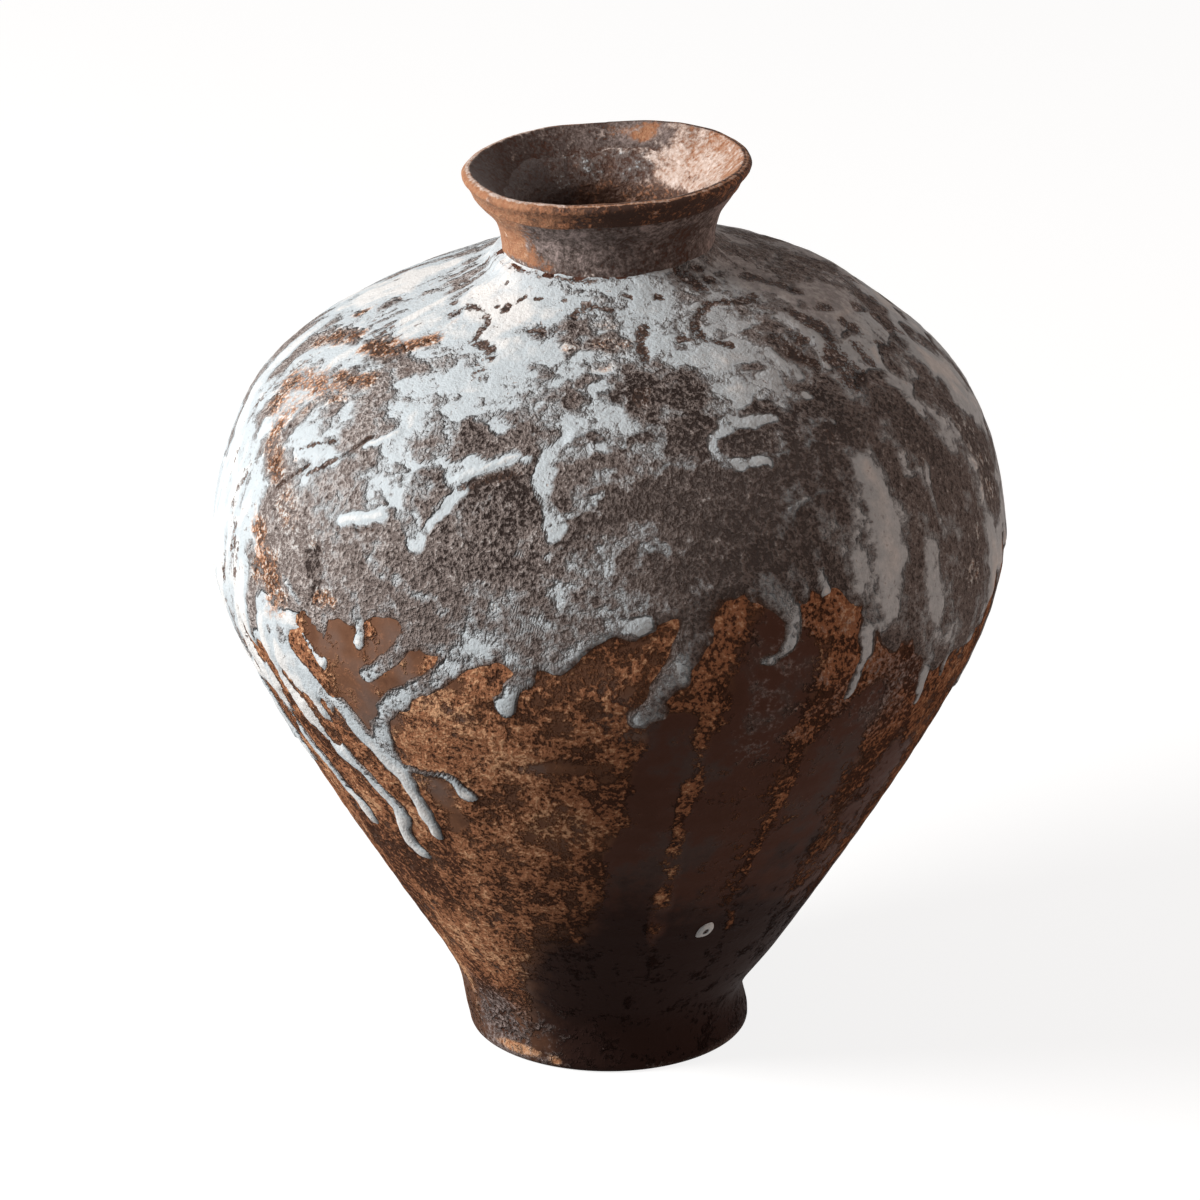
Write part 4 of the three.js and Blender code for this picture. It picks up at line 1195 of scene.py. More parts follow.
class VASE_OT_neck_collar(bpy.types.Operator):
    """Thrown neck that flares to a thin rounded lip"""

    bl_idname = "vase.neck_collar"
    bl_label = "Neck collar"

    def execute(self, context):
        form = context.scene.vase_form
        top = form.overall_height
        crease = top - form.neck_height
        crest_radius = form.neck_radius + form.lip_flare - form.lip_roll_width
        middle = np.array([crest_radius, top - form.lip_roll_height])
        turn = np.radians(np.linspace(-45, 90, 18))
        around = np.stack([np.cos(turn), np.sin(turn)], axis=1)
        roll = middle + around * (form.lip_roll_width, form.lip_roll_height)
        base = np.array([form.neck_radius, crease - 0.002])
        slant = np.array([math.cos(math.pi / 4), math.sin(math.pi / 4)])
        straight = base + (0, form.neck_straight + 0.002)
        side = bezier(base, straight, roll[0] - form.lip_sweep * slant, roll[0], 54)
        funnel = funnel_path(form, 40)[::-1]
        throat, throat_top = funnel[-1]
        throat_end = crease - 0.004
        bore = np.stack([np.full(12, throat), np.linspace(throat_top, throat_end, 13)[1:]], axis=1)
        seat = np.array(
            [
                (form.neck_radius - form.neck_wall / 2, throat_end),
                (form.neck_radius - 0.001, crease - 0.003),
            ]
        )
        section = np.vstack([side, roll[1:], funnel[1:], bore, seat])
        rows, columns = len(section), NECK_COLUMNS
        azimuth = over_grid(columns_of(columns), rows, columns)
        radius = over_grid(section[:, :1], rows, columns)
        height = over_grid(section[:, 1:], rows, columns)
        step = over_grid(np.arange(rows)[:, None], rows, columns)
        plain = thrown(azimuth, radius, height, form)
        drawn_in, uneven = lip_shift(azimuth, height, form)
        uneven = uneven + MM * 0.22 * cloud(plain, 0.011, 41, 2) * smooth(top - 0.010, top - 0.003, height)
        outer = step < len(side) + len(roll) - 1
        band_line = top - 0.0086 + MM * 0.5 * cloud(plain, 0.02, 45, 2)
        band = smooth(band_line - 0.0005, band_line + 0.0006, height) * outer
        ledge = band * smooth(-70, -28, np.degrees(azimuth))
        lumps = MM * (0.10 * cloud(plain, 0.006, 42, 3) + 0.15 * cloud(plain, 0.022, 43, 2) + 0.38 * ledge)
        lumps += 1.7 * MM * outer * np.exp(-(((height - top + 0.0098) / 0.0044) ** 2))
        points = thrown(azimuth, radius + lumps + drawn_in, height + uneven - 0.3 * MM * band, form)
        points[:, 0] += 0.9 * MM * outer * smooth(top - 0.008, top - 0.017, height)
        fields = self.fields(azimuth, height, step, plain, outer, band, len(side), form)
        vertices, faces = ring_solid(points.reshape(rows, columns, 3))
        material = neck_finish(context.scene.vase_clay)
        make_piece("neck_collar_clay", vertices, faces, fields, material, ["neck_collar"])
        return {"FINISHED"}

    def fields(self, azimuth, height, step, plain, outer, band, lip_row, form):
        """Where the neck is ashed, hazy and darkly rolled, where a highlight is painted on the lip's crest,
        where painted shade and gritty ash lie inside, and where the inside is bare pink with painted light
        on the right.
        """
        degrees = np.degrees(azimuth)
        blotch = cloud(plain, 0.014, 44, 3)
        spot = cloud(plain, 0.006, 46, 3)
        left = np.exp(-(((degrees + 70) / 27) ** 2))
        rear = smooth(100, 140, np.abs(degrees))
        ash = np.where(outer, 1.0 - 1.35 * left + 0.25 * blotch, 0.45 + 0.35 * rear + 0.4 * blotch)
        ash -= 0.9 * band * smooth(6, -26, degrees) * smooth(-150, -110, degrees)
        front_right = smooth(-46, 2, degrees) + smooth(-110, -150, degrees)
        rolled = band * (0.20 + 0.80 * np.clip(front_right, 0, 1) + 0.18 * blotch)
        crest_row = lip_row + 13
        # Painted highlight: a pale line along the lip's crest, brighter on the lit left.
        painted_highlight = np.exp(-(((step - crest_row) / 2.2) ** 2)) * (0.86 + 0.40 * left + 0.35 * spot)
        inner = ~outer
        below = form.overall_height - height
        behind = np.abs(degrees)
        from_flash = np.abs((degrees - 172 + 180) % 360 - 180)
        flashed = inner * np.exp(-(((below - 0.0026) / 0.0026) ** 2)) * smooth(26, 10, from_flash)
        ash -= 0.52 * flashed
        right = smooth(28, 84, degrees + 22 * blotch) * smooth(172, 132, degrees + 22 * blotch)
        # Partly painted light: pink marks the inner right wall, where light falls.
        pink_painted_light = inner * (right * (0.76 + 0.24 * smooth(0.002, 0.007, below)) + 0.22 * blotch)
        pink_painted_light *= smooth(0.019, 0.012, below)
        # Painted highlight: a cream line just inside the crest on the left.
        crest_highlight = np.exp(-(((step - lip_row - 14.5) / 2.2) ** 2))
        pink_painted_light = np.maximum(pink_painted_light, 1.2 * crest_highlight * smooth(-8, -30, degrees) * smooth(-168, -146, degrees))
        # Painted shade: the lip's shadow on the inner left wall, and a darker rear wall.
        painted_shade = inner * np.maximum(smooth(24, -30, degrees) * smooth(-178, -140, degrees), 0.55 * rear)
        painted_shade *= 1 - 0.62 * flashed
        gritty = inner * smooth(134, 162, behind) * smooth(0.004, 0.008, below) * (0.75 + 0.4 * blotch)
        base = smooth(form.neck_height - 0.0048, form.neck_height - 0.0010, below)
        gritty += outer * 0.72 * base * smooth(-82, -62, degrees) * smooth(8, -14, degrees)
        haze = 0.12 * np.exp(-(((below - 0.0112) / 0.0020) ** 2)) * smooth(-34, -14, degrees)
        haze += 0.13 * smooth(38, 72, degrees) + 0.09 * np.exp(-(((degrees + 33) / 15) ** 2))
        fields = {
            "ash": ash,
            "rolled": rolled,
            "painted_highlight": painted_highlight,
            "pink_painted_light": pink_painted_light,
            "painted_shade": painted_shade,
            "gritty": gritty,
            "haze": haze,
        }
        return {name: np.clip(values, 0, 1) for name, values in fields.items()}


def lip_shift(azimuth, height, form):
    """How far the lip was drawn in and lifted by hand, in metres, at each azimuth and height."""
    top = form.overall_height
    near_lip = smooth(top - 0.014, top - 0.003, height)
    waves = 0.22 * np.sin(3 * azimuth + 0.8) + 0.16 * np.sin(5 * azimuth + 2.0)
    lifted = waves - 0.35 + 0.45 * np.cos(azimuth)
    return -0.9 * MM * near_lip, MM * lifted * near_lip


def funnel_path(form, count):
    """The funnel inside the neck as (radius, height), from the throat up to the lip's crest."""
    throat_top = np.array([form.neck_radius - form.neck_wall, form.overall_height - form.throat_depth])
    crest = np.array([form.neck_radius + form.lip_flare - form.lip_roll_width, form.overall_height])
    slope = np.array([math.cos(form.funnel_slope), math.sin(form.funnel_slope)])
    sweep = form.funnel_sweep
    return bezier(throat_top, throat_top + (0, sweep), crest - sweep * slope, crest, count)


class VASE_OT_liner(bpy.types.Operator):
    """Thin glaze that lines the hollow and ends under the lip"""

    bl_idname = "vase.liner"
    bl_label = "Liner glaze"

    def execute(self, context):
        form = context.scene.vase_form
        wall = Wall(form)
        crease = form.overall_height - form.neck_height
        floor_top = form.foot_recess + form.floor
        boss = form.waist_radius - BOSS_STEP - form.wall
        sunk = MM * 0.6
        funnel = funnel_path(form, 48)
        throat, throat_top = funnel[0]
        path = np.vstack(
            [
                [(0.004, floor_top), (boss - 0.006, floor_top)],
                [(boss - 0.001, floor_top + 0.002), (boss, floor_top + 0.007)],
                wall.inner(INNER_START, wall.crease - 0.004, 40),
                [(throat, crease - 0.005)],
                np.stack([np.full(9, throat), np.linspace(crease - 0.004, throat_top, 10)[:-1]], axis=1),
                funnel[:44],
            ]
        )
        step = np.gradient(path, axis=0)
        step /= np.linalg.norm(step, axis=1)[:, None]
        inward = np.stack([-step[:, 1], step[:, 0]], axis=1)
        rows, columns = len(path), LINER_COLUMNS
        azimuth = columns_of(columns)
        degrees = np.degrees(azimuth)
        places = thrown(azimuth[None, :], path[:, :1], path[:, 1:], form).reshape(-1, 3)
        ends = 0.74 + 0.07 * np.sin(2 * azimuth + 1) + 0.04 * np.sin(5 * azimuth)
        up = (path[:, 1] - throat_top) / form.throat_depth
        full = smooth(0, 0.34, ends[None, :] - up[:, None])
        lumps = cloud(places, 0.006, 51, 3).reshape(rows, columns)
        thick = MM * (-0.35 + full * (0.75 + 0.15 * lumps))
        drawn_in, lifted = lip_shift(azimuth[None, :], path[:, 1:], form)
        shell = [
            thrown(
                azimuth[None, :],
                path[:, :1] + inward[:, :1] * off + drawn_in,
                path[:, 1:] + inward[:, 1:] * off + lifted,
                form,
            )
            for off in (thick, -sunk + 0 * thick)
        ]
        grid = np.concatenate([shell[1], shell[0][::-1]])
        back = smooth(126, 162, np.abs(degrees))[None, :]
        band = smooth(0.02, 0.30, up)[:, None] * back * (0.86 + 0.45 * lumps)
        turned = degrees[None, :] + 16 * lumps
        right = smooth(34, 90, turned) * smooth(176, 138, turned)
        # Partly painted light: pink marks the inner right wall, where light falls.
        pink_painted_light = right * smooth(0.05, 0.35, up)[:, None] * (1.0 + 0.25 * lumps)
        # Painted shade on the inner left, where the lip's shadow falls.
        painted_shade = smooth(24, -30, degrees) * smooth(-178, -140, degrees) + 0 * lumps
        fields = {"gritty": np.clip(band, 0, 1), "pink_painted_light": np.clip(pink_painted_light, 0, 1), "painted_shade": painted_shade}
        fields = {
            name: np.append(np.concatenate([0 * values, values[::-1]]).ravel(), [0.0, 0.0])
            for name, values in fields.items()
        }
        low, high = (0, 0, floor_top - sunk), (0, 0, floor_top + MM * 0.7)
        vertices, faces = ring_solid(grid, low, high)
        material = liner_finish(context.scene.vase_glaze, context.scene.vase_clay)
        make_piece("liner_glaze_skin", vertices, faces, fields, material, ["liner_glaze"])
        return {"FINISHED"}


def coat_edge(azimuth):
    """Height in mm of the coat's lower edge at each azimuth."""
    known = np.array(COAT_EDGE, float)
    degrees = np.degrees(azimuth)
    turns = np.concatenate([known[:, 0] - 360, known[:, 0], known[:, 0] + 360])
    return np.interp(degrees, turns, np.tile(known[:, 1], 3))


def coat_border(azimuth):
    """Height in mm below all glaze at each azimuth, where the coat's mesh ends inside the clay."""
    degrees = np.degrees(azimuth)
    below_edge, below_run, beside_run = 14, 9, 9
    widen, half = 9, 16
    low = coat_edge(azimuth) - below_edge
    for run in GLAZE_RUNS:
        for turn, height in rounded(run.places):
            away = np.abs((degrees - turn + 180) % 360 - 180)
            low = np.where(away < beside_run, np.minimum(low, height - below_run), low)
    window = np.exp(-(np.linspace(-2, 2, 2 * half + 1) ** 2))
    spread = np.minimum.reduce([np.roll(low, k) for k in range(-widen, widen + 1)])
    padded = np.concatenate([spread[-half:], spread, spread[:half]])
    return np.convolve(padded, window / window.sum(), "valid")


def lobes(azimuth, along, points):
    """Signed distance in mm into the nearest of many rounded lobes, which crowd the belly like scales."""
    across, tall = math.radians(9.5), 0.0195
    warp = 0.0042 * cloud(points, 0.022, 61, 2)
    lift = 0.0036 * cloud(points, 0.020, 62, 2)
    column = azimuth / across
    row = (along + lift) / tall
    deepest = np.full(len(points), -1e3)
    above = np.zeros(len(points))
    radius = np.linalg.norm(points[:, :2], axis=1)
    around = round(2 * math.pi / across)
    for dc, dr in itertools.product((-1, 0, 1), repeat=2):
        r = np.floor(row) + dr
        c = np.floor(column + 0.5 * (r % 2)) + dc
        cell = np.stack([c % around, r, 0 * r], axis=1)
        seat_c = c - 0.5 * (r % 2) + 0.5 + 0.55 * (grain(cell, 63) - 0.5)
        seat_r = r + 0.5 + 0.5 * (grain(cell, 64) - 0.5)
        size = 8.0 + 4.5 * grain(cell, 65)
        dx = ((column - seat_c) * across * radius + warp) / MM
        dy = (row - seat_r) * tall / MM
        inside = size - np.hypot(dx, dy)
        better = inside > deepest
        deepest = np.where(better, inside, deepest)
        above = np.where(better, dy / size, above)
    return deepest, above


class VASE_OT_ash_glaze(bpy.types.Operator):
    """Ash-glaze coat over the shoulder, with its runs down the flank"""

    bl_idname = "vase.ash_glaze"
    bl_label = "Ash glaze"

    def execute(self, context):
        form = context.scene.vase_form
        wall = Wall(form)
        rows, columns = COAT_ROWS, COAT_COLUMNS
        turn = front_columns(columns)
        border = wall.at_height(coat_border(turn) * MM)
        rise = np.linspace(0, 1, rows)[:, None]
        along = (border[None, :] + (wall.end - border)[None, :] * rise).ravel()
        azimuth = over_grid(turn, rows, columns)
        points = wall.points(azimuth, along)
        height = wall.face(along)[1] / MM
        fields = self.fields(wall, azimuth, along, points, height)
        cover = fields["cover"]
        at_neck = (along - wall.crease) / MM
        deepest = -0.55 - 1.4 * smooth(0.5, 3.0, at_neck)
        front = wall.points(azimuth, along, MM * np.maximum(cover, deepest)).reshape(rows, columns, 3)
        fields["cover"] = cover + 1.5 * smooth(-0.5, 1.5, at_neck)
        step = COAT_BACK_STEP
        back_turn = turn[::step]
        back_rise = np.linspace(0, 1, COAT_BACK_ROWS)[:, None]
        back_along = border[None, ::step] + (wall.end - border[None, ::step]) * back_rise
        back = wall.points(back_turn[None, :], back_along, -MM * 2.2)
        vertices = np.vstack([front.reshape(-1, 3), back.reshape(-1, 3)])
        start = rows * columns
        few = columns // step
        faces = band_faces(rows, columns)
        faces += [quad[::-1] for quad in band_faces(len(back), few, start)]
        top, back_top = (rows - 1) * columns, start + (len(back) - 1) * few
        for i in range(few):
            j = (i + 1) % few
            fine = [(i * step + k) % columns for k in range(step + 1)]
            faces.append([start + i, start + j] + fine[::-1])
            faces.append([back_top + j, back_top + i] + [top + k for k in fine])
        unseen = np.zeros(len(vertices) - start)
        fields = {name: np.append(values, unseen) for name, values in fields.items()}
        nodes = [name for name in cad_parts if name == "shoulder_glaze" or name.startswith("glaze_run")]
        material = glaze_finish(context.scene.vase_glaze)
        make_piece("ash_glaze_coat", vertices, faces, fields, material, nodes)
        return {"FINISHED"}

    def fields(self, wall, azimuth, along, points, height):
        """Thickness of the glaze in mm, below 0 where there is none, and how it is toned and crawled."""
        degrees = np.degrees(azimuth)
        flow = drawn_out(azimuth, 0.12, along * 0.3)
        radius = wall.face(along)[0]
        aside = MM * (1.9 * cloud(points, 0.010, 81, 2) + 0.8 * cloud(points, 0.0042, 82, 2))
        climb = MM * (1.9 * cloud(points, 0.010, 83, 2) + 0.8 * cloud(points, 0.0042, 84, 2))
        torn = wall.points(azimuth + aside / radius, along + climb)
        frayed = wall.points(azimuth + 0.75 * aside / radius, along + 0.75 * climb)
        stirred = wall.points(azimuth + 0.45 * aside / radius, along + 0.45 * climb)
        blotch = cloud(points, 0.026, 74, 4)
        small = cloud(points, 0.011, 85, 3)

        edge = wall.at_height(coat_edge(azimuth) * MM)
        ragged = 2.2 * cloud(points, 0.012, 71, 3) + 2.4 * cloud(flow, 0.010, 72, 2)
        fringe = smooth(12, 30, degrees) * smooth(140, 100, degrees) * cloud(flow, 0.0052, 89, 2)
        over_edge = (along - edge) / MM + ragged + 4.4 * fringe
        bead = np.exp(-(((over_edge - 3.0) / 3.0) ** 2))
        coat = 0.50 * smooth(-0.4, 2.6, over_edge) + 0.40 * bead + np.minimum(over_edge, 0) * 0.28
        runs = np.full(len(points), -3.0)
        run_pale = np.zeros(len(points))
        for run in GLAZE_RUNS:
            away, gone = stroke(wall, run.places, frayed, max(run.start, run.tip) + 4)
            bulb = 1 + 0.20 * np.exp(-(((gone - 0.95) / 0.07) ** 2))
            half = 0.5 * (run.start + (run.tip - run.start) * gone**0.7) * bulb * (1 + 0.34 * small)
            lens = run.crown * (0.40 + 0.42 * gone) * (1 - (away / half) ** 2.4)
            runs = np.maximum(runs, np.maximum(lens, -3))
            white = run.white + (run.tip_white - run.white) * gone**2
            run_pale = np.maximum(run_pale, smooth(1.25, 0.45, away / half) * white)
        blend = np.clip(0.5 + 0.5 * (coat - runs) / 0.5, 0, 1)
        cover = runs * (1 - blend) + coat * blend + 0.25 * blend * (1 - blend)

        lobe, above = lobes(azimuth, along, torn)
        web = smooth(3.4, -0.8, lobe) * smooth(-1.2, 0.4, above)
        web *= 1 - 0.85 * smooth(-10, 2, degrees) * smooth(36, 20, degrees)
        belly = smooth(186, 206, height) * smooth(262, 240, height) * (0.75 + 0.6 * blotch)
        right = smooth(14, 40, degrees) * smooth(140, 100, degrees)
        left = smooth(-50, -72, degrees) * smooth(-160, -125, degrees)
        streaks = cloud(flow, 0.017, 75, 3)
        rows = (150, 178, 190, 205, 222, 236, 248, 258, 275)
        pale = np.interp(height, rows, (0.46, 0.42, 0.35, 0.32, 0.39, 0.48, 0.64, 0.76, 0.76))
        pale -= 0.12 * right * smooth(190, 206, height) * smooth(250, 236, height)
        # Painted light: the lit left side is painted paler, and further down its grains are lightened.
        painted_lit_side = smooth(-22, -46, degrees) * smooth(-160, -125, degrees)
        pale += 0.26 * blotch + 0.14 * small + 0.10 * painted_lit_side
        pale += left * (0.37 - 0.20 * smooth(206, 226, height) - 0.06 * smooth(245, 262, height))
        pale += belly * web * 0.34 + 0.10 * bead
        fibres = cloud(drawn_out(azimuth, 0.12, along * 0.12), 0.007, 86, 2)
        sheet = smooth(-43, -52, degrees) * smooth(-125, -95, degrees) * smooth(190, 172, height)
        pale += sheet * (0.24 + 0.70 * fibres) + 0.36 * left * fibres
        pale += right * (0.34 * streaks + 0.26 * fibres + 0.26) * smooth(252, 222, height)
        marks = marked(wall, PALE_MARKS, torn, 0.7)
        ridges = np.zeros(len(points))
        for mark in GLAZE_RIDGES:
            away, _ = stroke(wall, mark.places, stirred, 7)
            ridges = np.maximum(ridges, mark.strength * np.exp(-((away / (1.1 * mark.reach)) ** 2)))
        dark = marked(wall, DARK_MARKS, torn, 0.9)
        # Painted shadow just under the upper rim of each lobe on the belly.
        painted_shadow_under_rim = smooth(0.5, 2.5, lobe) * smooth(8.5, 4.0, lobe) * smooth(0.05, 0.6, above)
        dark = np.maximum(dark, 0.75 * belly * painted_shadow_under_rim)
        front_right = smooth(2, 16, degrees) * smooth(52, 34, degrees) * smooth(250, 238, height)
        # Painted light: lighter grains on the lit left side; darker grains on the front right.
        dark -= painted_lit_side - 0.75 * front_right
        rust = 0.90 * marked(wall, RUST_MARKS, torn, 1.1)
        unseen = smooth(92, 112, np.abs(degrees + 4)) * smooth(262, 242, height)
        rust = np.maximum(rust, 0.75 * smooth(0.60, 1.05, cloud(points, 0.034, 76, 3)) * unseen)
        pale -= 0.42 * np.maximum(rust, dark)
        on_clay = np.maximum(run_pale + 0.15 * small, 0.2)
        pale = np.where(over_edge < 1.0, on_clay, np.maximum(pale, run_pale))
        pale = np.maximum(pale, marks * (0.98 + 0.30 * right * fibres) + 0.14 * small - 0.30 * rust)
        # Partly painted highlight: the raised ridges are also painted pale.
        pale = np.maximum(pale, 1.1 * ridges)

        crawl = 0.92 * marked(wall, CRAWL_MARKS, frayed, 0.95)
        thread_places = drawn_out(azimuth, 0.12, along * 0.07)
        threads = smooth(0.30, 0.85, cloud(thread_places, 0.0034, 88, 2)) * smooth(-0.2, 0.5, small)
        crawl = np.maximum(crawl, 0.66 * threads * np.maximum(left, sheet) * smooth(262, 250, height))
        holes = cloud(points, 0.010, 77, 3) + 0.35 * cloud(points, 0.030, 78, 2) - 0.6 * marks
        pale -= 0.34 * smooth(0.15, 0.75, holes) * smooth(236, 252, height) * smooth(270, 260, height)
        near_neck = smooth(232, 252, height) * smooth(268, 260, height)
        crawl = np.maximum(crawl, 0.7 * smooth(0.72, 1.05, holes) * near_neck)
        spots = cloud(drawn_out(azimuth, 0.12, along * 0.55), 0.010, 87, 2)
        right_top = smooth(26, 50, degrees) * smooth(140, 100, degrees)
        right_top *= smooth(216, 234, height) * smooth(271, 262, height)
        crawl = np.maximum(crawl, 0.75 * smooth(0.34, 0.80, spots) * right_top)
        inside = smooth(1.5, 8.0, over_edge)
        cover += inside * (0.42 * np.clip(pale, 0, 1.1) - 0.10 + 0.12 * cloud(points, 0.0045, 79, 3))
        cover += inside * (1.1 * ridges - 0.30 * crawl) + 0.22 * sheet * fibres * inside
        cover = np.where(inside > 0.98, np.maximum(cover, 0.26), cover)
        cover -= 3.0 * marked(wall, GLAZE_GAPS, stirred, 0.7)
        at_neck = (along - wall.crease) / MM
        lower_rim = 1.2 * smooth(50, 10, degrees) * smooth(-170, -140, degrees)
        cover -= 2.6 * smooth(0.2, 4.4, at_neck + lower_rim + 0.5 * cloud(points, 0.005, 80, 3))
        crease_ring = np.exp(-(((at_neck - 0.4) / 1.5) ** 2))
        grains = crease_ring * smooth(-84, -58, degrees) * smooth(40, 10, degrees)
        crawl = np.maximum(crawl, 0.78 * grains)
        # Partly painted shade: the veil is thin ash and also darkens the pale ash on the shaded right of the
        # shoulder, under the neck's shadow.
        veil_and_shade = smooth(34, 74, degrees + 8 * blotch) * smooth(160, 125, degrees) * smooth(242, 256, height)
        veil_and_shade = np.maximum(0.8 * veil_and_shade, 0.35 * right)
        # Painted shade: calm makes the thin coat darker and more even on the right, where shade falls, and
        # on the low front.
        calm_painted_shade = smooth(-14, 6, degrees) * smooth(140, 110, degrees) * smooth(246, 228, height)
        low_front = smooth(-48, -36, degrees) * smooth(60, 40, degrees) * smooth(208, 192, height)
        calm_painted_shade = np.maximum(calm_painted_shade, low_front)
        fields = {"pale": pale, "rust": rust, "crawl": crawl * inside, "veil_and_shade": veil_and_shade, "calm_painted_shade": calm_painted_shade}
        fields = {name: np.clip(values, 0, 1.2) for name, values in fields.items()}
        return {"cover": cover, "dark": np.clip(dark, -1, 1), **fields}


class VASE_OT_splash(bpy.types.Operator):
    """Small pale splash of glaze low on the flank"""

    bl_idname = "vase.splash"
    bl_label = "Glaze splash"

    def execute(self, context):
        form = context.scene.vase_form
        wall = Wall(form)
        low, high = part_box("glaze_splash")
        middle = (low + high) / 2
        azimuth = math.atan2(middle.x, -middle.y)
        along = float(wall.at_height(middle.z))
        radius = wall.face(along)[0]
        rings, columns = 12, 40
        turn = np.linspace(0, 2 * math.pi, columns, endpoint=False)
        reach = np.linspace(0.06, 1, rings)
        across = 2.6 * MM * np.outer(reach, np.cos(turn) * (1 + 0.10 * np.cos(2 * turn + 1)))
        tall = 4.0 * MM * np.outer(reach, np.sin(turn) * (1 + 0.08 * np.cos(3 * turn)))
        tilt = math.radians(-28)
        side = across * math.cos(tilt) - tall * math.sin(tilt)
        climb = across * math.sin(tilt) + tall * math.cos(tilt)
        rise = np.broadcast_to(reach[:, None], side.shape)
        bulge = 1.15 * np.sqrt(np.clip(1 - rise**2, 0, 1))
        dimple = 0.75 * np.exp(-((rise / 0.34) ** 2))
        dome = MM * (bulge - dimple - 0.12)
        sunk = -MM * 0.8
        front = wall.points(azimuth + side / radius, along + climb, dome)
        back = wall.points(azimuth + side[::-1] / radius, along + climb[::-1], sunk)
        grid = np.concatenate([front, back])
        first = wall.points(azimuth, along, MM * 0.25)
        last = wall.points(azimuth, along, sunk)
        vertices, faces = ring_solid(grid, first, last)
        faces = [face[::-1] for face in faces]
        ring = np.concatenate([smooth(0.16, 0.42, rise), 0 * rise]).ravel()
        count = len(vertices)
        fields = {
            "cover": np.full(count, 0.8),
            "pale": np.append(ring * 1.1, [0.0, 0.0]),
            "dark": np.full(count, 0.6),
            **{name: np.zeros(count) for name in ("rust", "crawl", "veil_and_shade", "calm_painted_shade")},
        }
        material = bpy.data.materials.get("run ash glaze") or glaze_finish(context.scene.vase_glaze)
        make_piece("pale_splash", vertices, faces, fields, material, ["glaze_splash"])
        return {"FINISHED"}


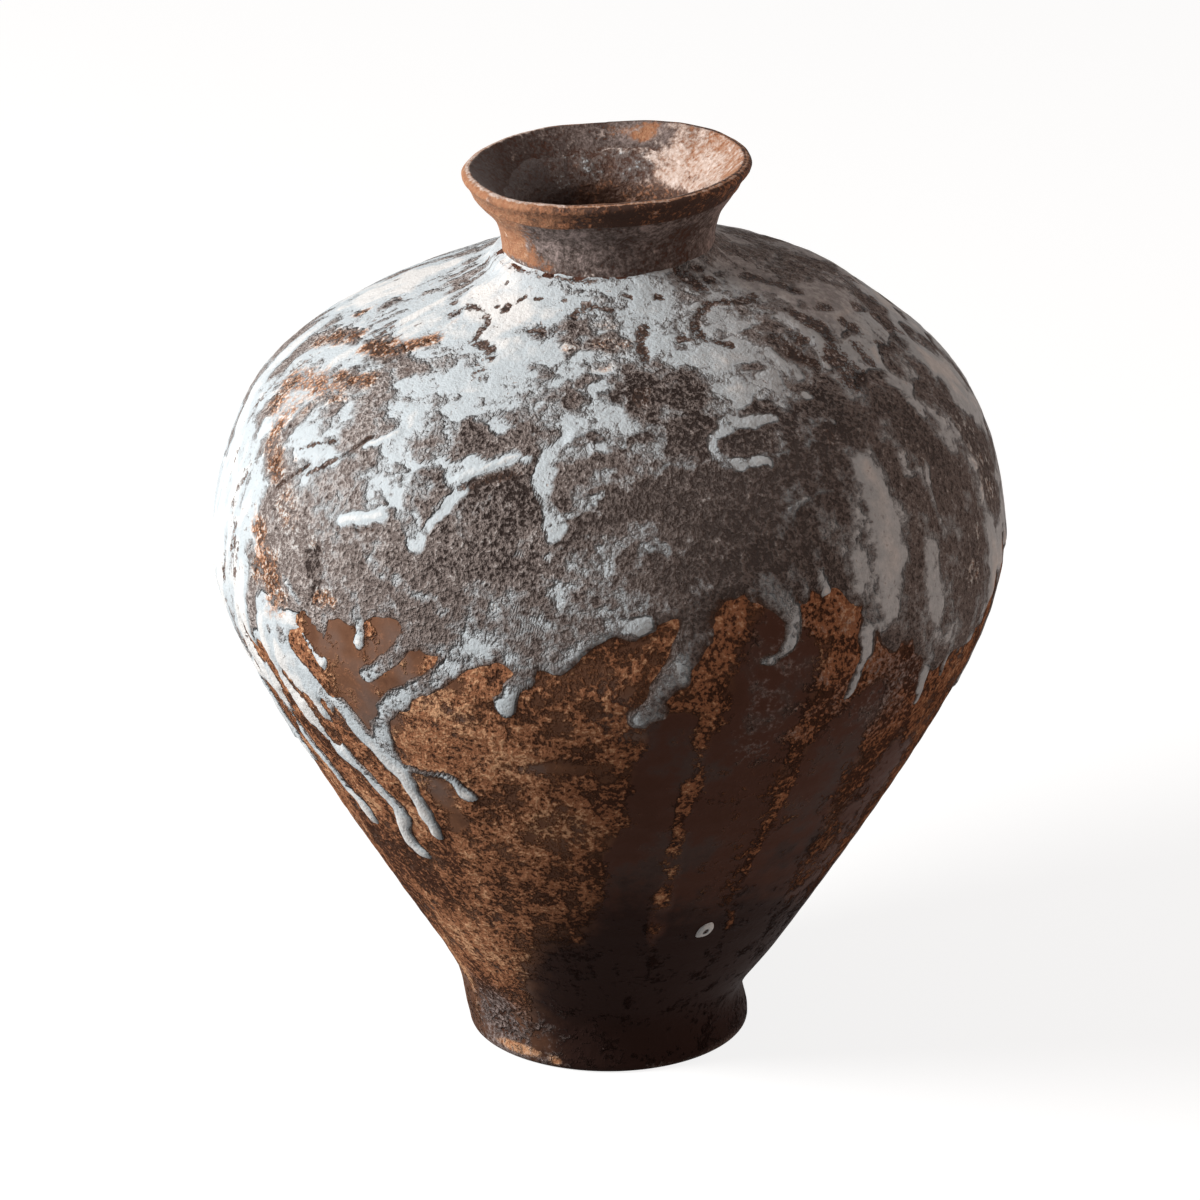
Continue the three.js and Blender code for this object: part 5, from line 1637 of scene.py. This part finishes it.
class VASE_OT_stage(bpy.types.Operator):
    """Pale floor, soft studio lights and the camera"""

    bl_idname = "vase.stage"
    bl_label = "Stage"

    def execute(self, context):
        stage = context.scene.vase_stage
        self.floor(stage)
        self.sky(context.scene, stage)
        aim = Vector((0, 0, stage.camera_aim))
        self.softbox(
            "key softbox",
            aim,
            turn=-75,
            rise=27,
            distance=1.9,
            size=0.75,
            power=stage.key_power,
            tint=(1.0, 0.985, 0.965),
        )
        self.softbox(
            "right fill",
            aim,
            turn=72,
            rise=8,
            distance=2.4,
            size=1.6,
            power=stage.fill_power,
            tint=(1.0, 0.76, 0.64),
        )
        self.camera(context.scene, stage, aim)
        context.scene.view_settings.view_transform = "Standard"
        return {"FINISHED"}

    def floor(self, stage):
        """A floor that shows nearly white and throws less light back on the vase."""
        size = 30.0
        mesh = bpy.data.meshes.new("studio floor")
        corners = [(-size, -size, 0), (size, -size, 0), (size, size, 0), (-size, size, 0)]
        mesh.from_pydata(corners, [], [(0, 1, 2, 3)])
        floor = bpy.data.objects.new("studio_floor", mesh)
        bpy.context.scene.collection.objects.link(floor)
        material = bpy.data.materials.new("pale floor")
        material.use_nodes = True
        nodes, links = material.node_tree.nodes, material.node_tree.links
        nodes.clear()
        seen = self.seen_directly(nodes, links)
        shown = nodes.new("ShaderNodeBsdfDiffuse")
        shown.inputs["Color"].default_value = (*[stage.floor_tone] * 3, 1)
        glow = nodes.new("ShaderNodeEmission")
        glow.inputs["Color"].default_value = (1, 1, 1, 1)
        glow.inputs["Strength"].default_value = stage.floor_glow
        lit = nodes.new("ShaderNodeAddShader")
        links.new(shown.outputs[0], lit.inputs[0])
        links.new(glow.outputs[0], lit.inputs[1])
        thrown_back = nodes.new("ShaderNodeBsdfDiffuse")
        thrown_back.inputs["Color"].default_value = (*[stage.floor_bounce] * 3, 1)
        mixed = nodes.new("ShaderNodeMixShader")
        links.new(seen, mixed.inputs[0])
        links.new(thrown_back.outputs[0], mixed.inputs[1])
        links.new(lit.outputs[0], mixed.inputs[2])
        out = nodes.new("ShaderNodeOutputMaterial")
        links.new(mixed.outputs[0], out.inputs["Surface"])
        mesh.materials.append(material)

    def seen_directly(self, nodes, links):
        """1 for rays from the camera, off gloss and through clear parts, which see the white ground."""
        path = nodes.new("ShaderNodeLightPath")
        seen = path.outputs["Is Camera Ray"]
        for kind in ("Is Glossy Ray", "Is Transmission Ray"):
            either = nodes.new("ShaderNodeMath")
            either.operation = "MAXIMUM"
            links.new(seen, either.inputs[0])
            links.new(path.outputs[kind], either.inputs[1])
            seen = either.outputs[0]
        return seen

    def sky(self, scene, stage):
        """A white background that sheds a weaker, warmer light from all round."""
        world = bpy.data.worlds.new("studio")
        scene.world = world
        world.use_nodes = True
        nodes, links = world.node_tree.nodes, world.node_tree.links
        nodes.clear()
        seen = self.seen_directly(nodes, links)
        soft = nodes.new("ShaderNodeBackground")
        soft.inputs["Color"].default_value = (stage.sky, stage.sky * 0.87, stage.sky * 0.80, 1)
        white = nodes.new("ShaderNodeBackground")
        white.inputs["Color"].default_value = (1, 1, 1, 1)
        mixed = nodes.new("ShaderNodeMixShader")
        links.new(seen, mixed.inputs[0])
        links.new(soft.outputs[0], mixed.inputs[1])
        links.new(white.outputs[0], mixed.inputs[2])
        out = nodes.new("ShaderNodeOutputWorld")
        links.new(mixed.outputs[0], out.inputs["Surface"])

    def softbox(self, name, aim, turn, rise, distance, size, power, tint):
        """A round softbox at an azimuth and a height above the horizon in degrees, turned to the vase."""
        a, e = math.radians(turn), math.radians(rise)
        back = Vector((math.sin(a) * math.cos(e), -math.cos(a) * math.cos(e), math.sin(e)))
        lamp = bpy.data.lights.new(name, "AREA")
        lamp.shape = "DISK"
        lamp.size = size
        lamp.energy = power
        lamp.color = tint
        box = bpy.data.objects.new(name, lamp)
        box.location = aim + back * distance
        box.rotation_mode = "QUATERNION"
        box.rotation_quaternion = (-back).to_track_quat("-Z", "Y")
        bpy.context.scene.collection.objects.link(box)

    def camera(self, scene, stage, aim):
        """The camera of the photograph."""
        rise = stage.camera_rise
        back = Vector((0, -math.cos(rise), math.sin(rise)))
        lens = bpy.data.cameras.new("photo camera")
        lens.lens = stage.lens_mm
        lens.sensor_width = 36.0
        lens.shift_x, lens.shift_y = stage.shift_x, stage.shift_y
        lens.clip_start, lens.clip_end = 0.05, 100.0
        camera = bpy.data.objects.new("photo_camera", lens)
        camera.location = aim + back * stage.camera_distance
        camera.rotation_mode = "QUATERNION"
        camera.rotation_quaternion = (-back).to_track_quat("-Z", "Y")
        scene.collection.objects.link(camera)
        scene.camera = camera


PIECES = (
    VASE_OT_foot_ring,
    VASE_OT_lower_body,
    VASE_OT_upper_body,
    VASE_OT_neck_collar,
    VASE_OT_liner,
    VASE_OT_ash_glaze,
    VASE_OT_splash,
    VASE_OT_stage,
)
SETTINGS = {"vase_form": VaseForm, "vase_clay": ClayLook, "vase_glaze": GlazeLook, "vase_stage": StageLook}


class VASE_PT_sidebar(bpy.types.Panel):
    """Sizes, colours and pieces of the vase"""

    bl_idname = "VASE_PT_sidebar"
    bl_label = "Stoneware vase"
    bl_space_type = "VIEW_3D"
    bl_region_type = "UI"
    bl_category = "Vase"

    def draw(self, context):
        for group, kind in SETTINGS.items():
            box = self.layout.box()
            box.label(text=kind.__doc__)
            for name in kind.__annotations__:
                box.prop(getattr(context.scene, group), name)
        for piece in PIECES:
            self.layout.operator(piece.bl_idname)


def register():
    """Registers the settings, the operators and the panel."""
    for group, kind in SETTINGS.items():
        bpy.utils.register_class(kind)
        setattr(bpy.types.Scene, group, bpy.props.PointerProperty(type=kind))
    for kind in (*PIECES, VASE_PT_sidebar):
        bpy.utils.register_class(kind)


def unregister():
    """Takes the panel, the operators and the settings away again."""
    for kind in (VASE_PT_sidebar, *reversed(PIECES)):
        bpy.utils.unregister_class(kind)
    for group, kind in SETTINGS.items():
        delattr(bpy.types.Scene, group)
        bpy.utils.unregister_class(kind)


def main():
    """Makes every piece and the stage."""
    register()
    bpy.ops.vase.foot_ring()
    bpy.ops.vase.lower_body()
    bpy.ops.vase.upper_body()
    bpy.ops.vase.neck_collar()
    bpy.ops.vase.liner()
    bpy.ops.vase.ash_glaze()
    bpy.ops.vase.splash()
    bpy.ops.vase.stage()


if __name__ == "__main__":
    main()
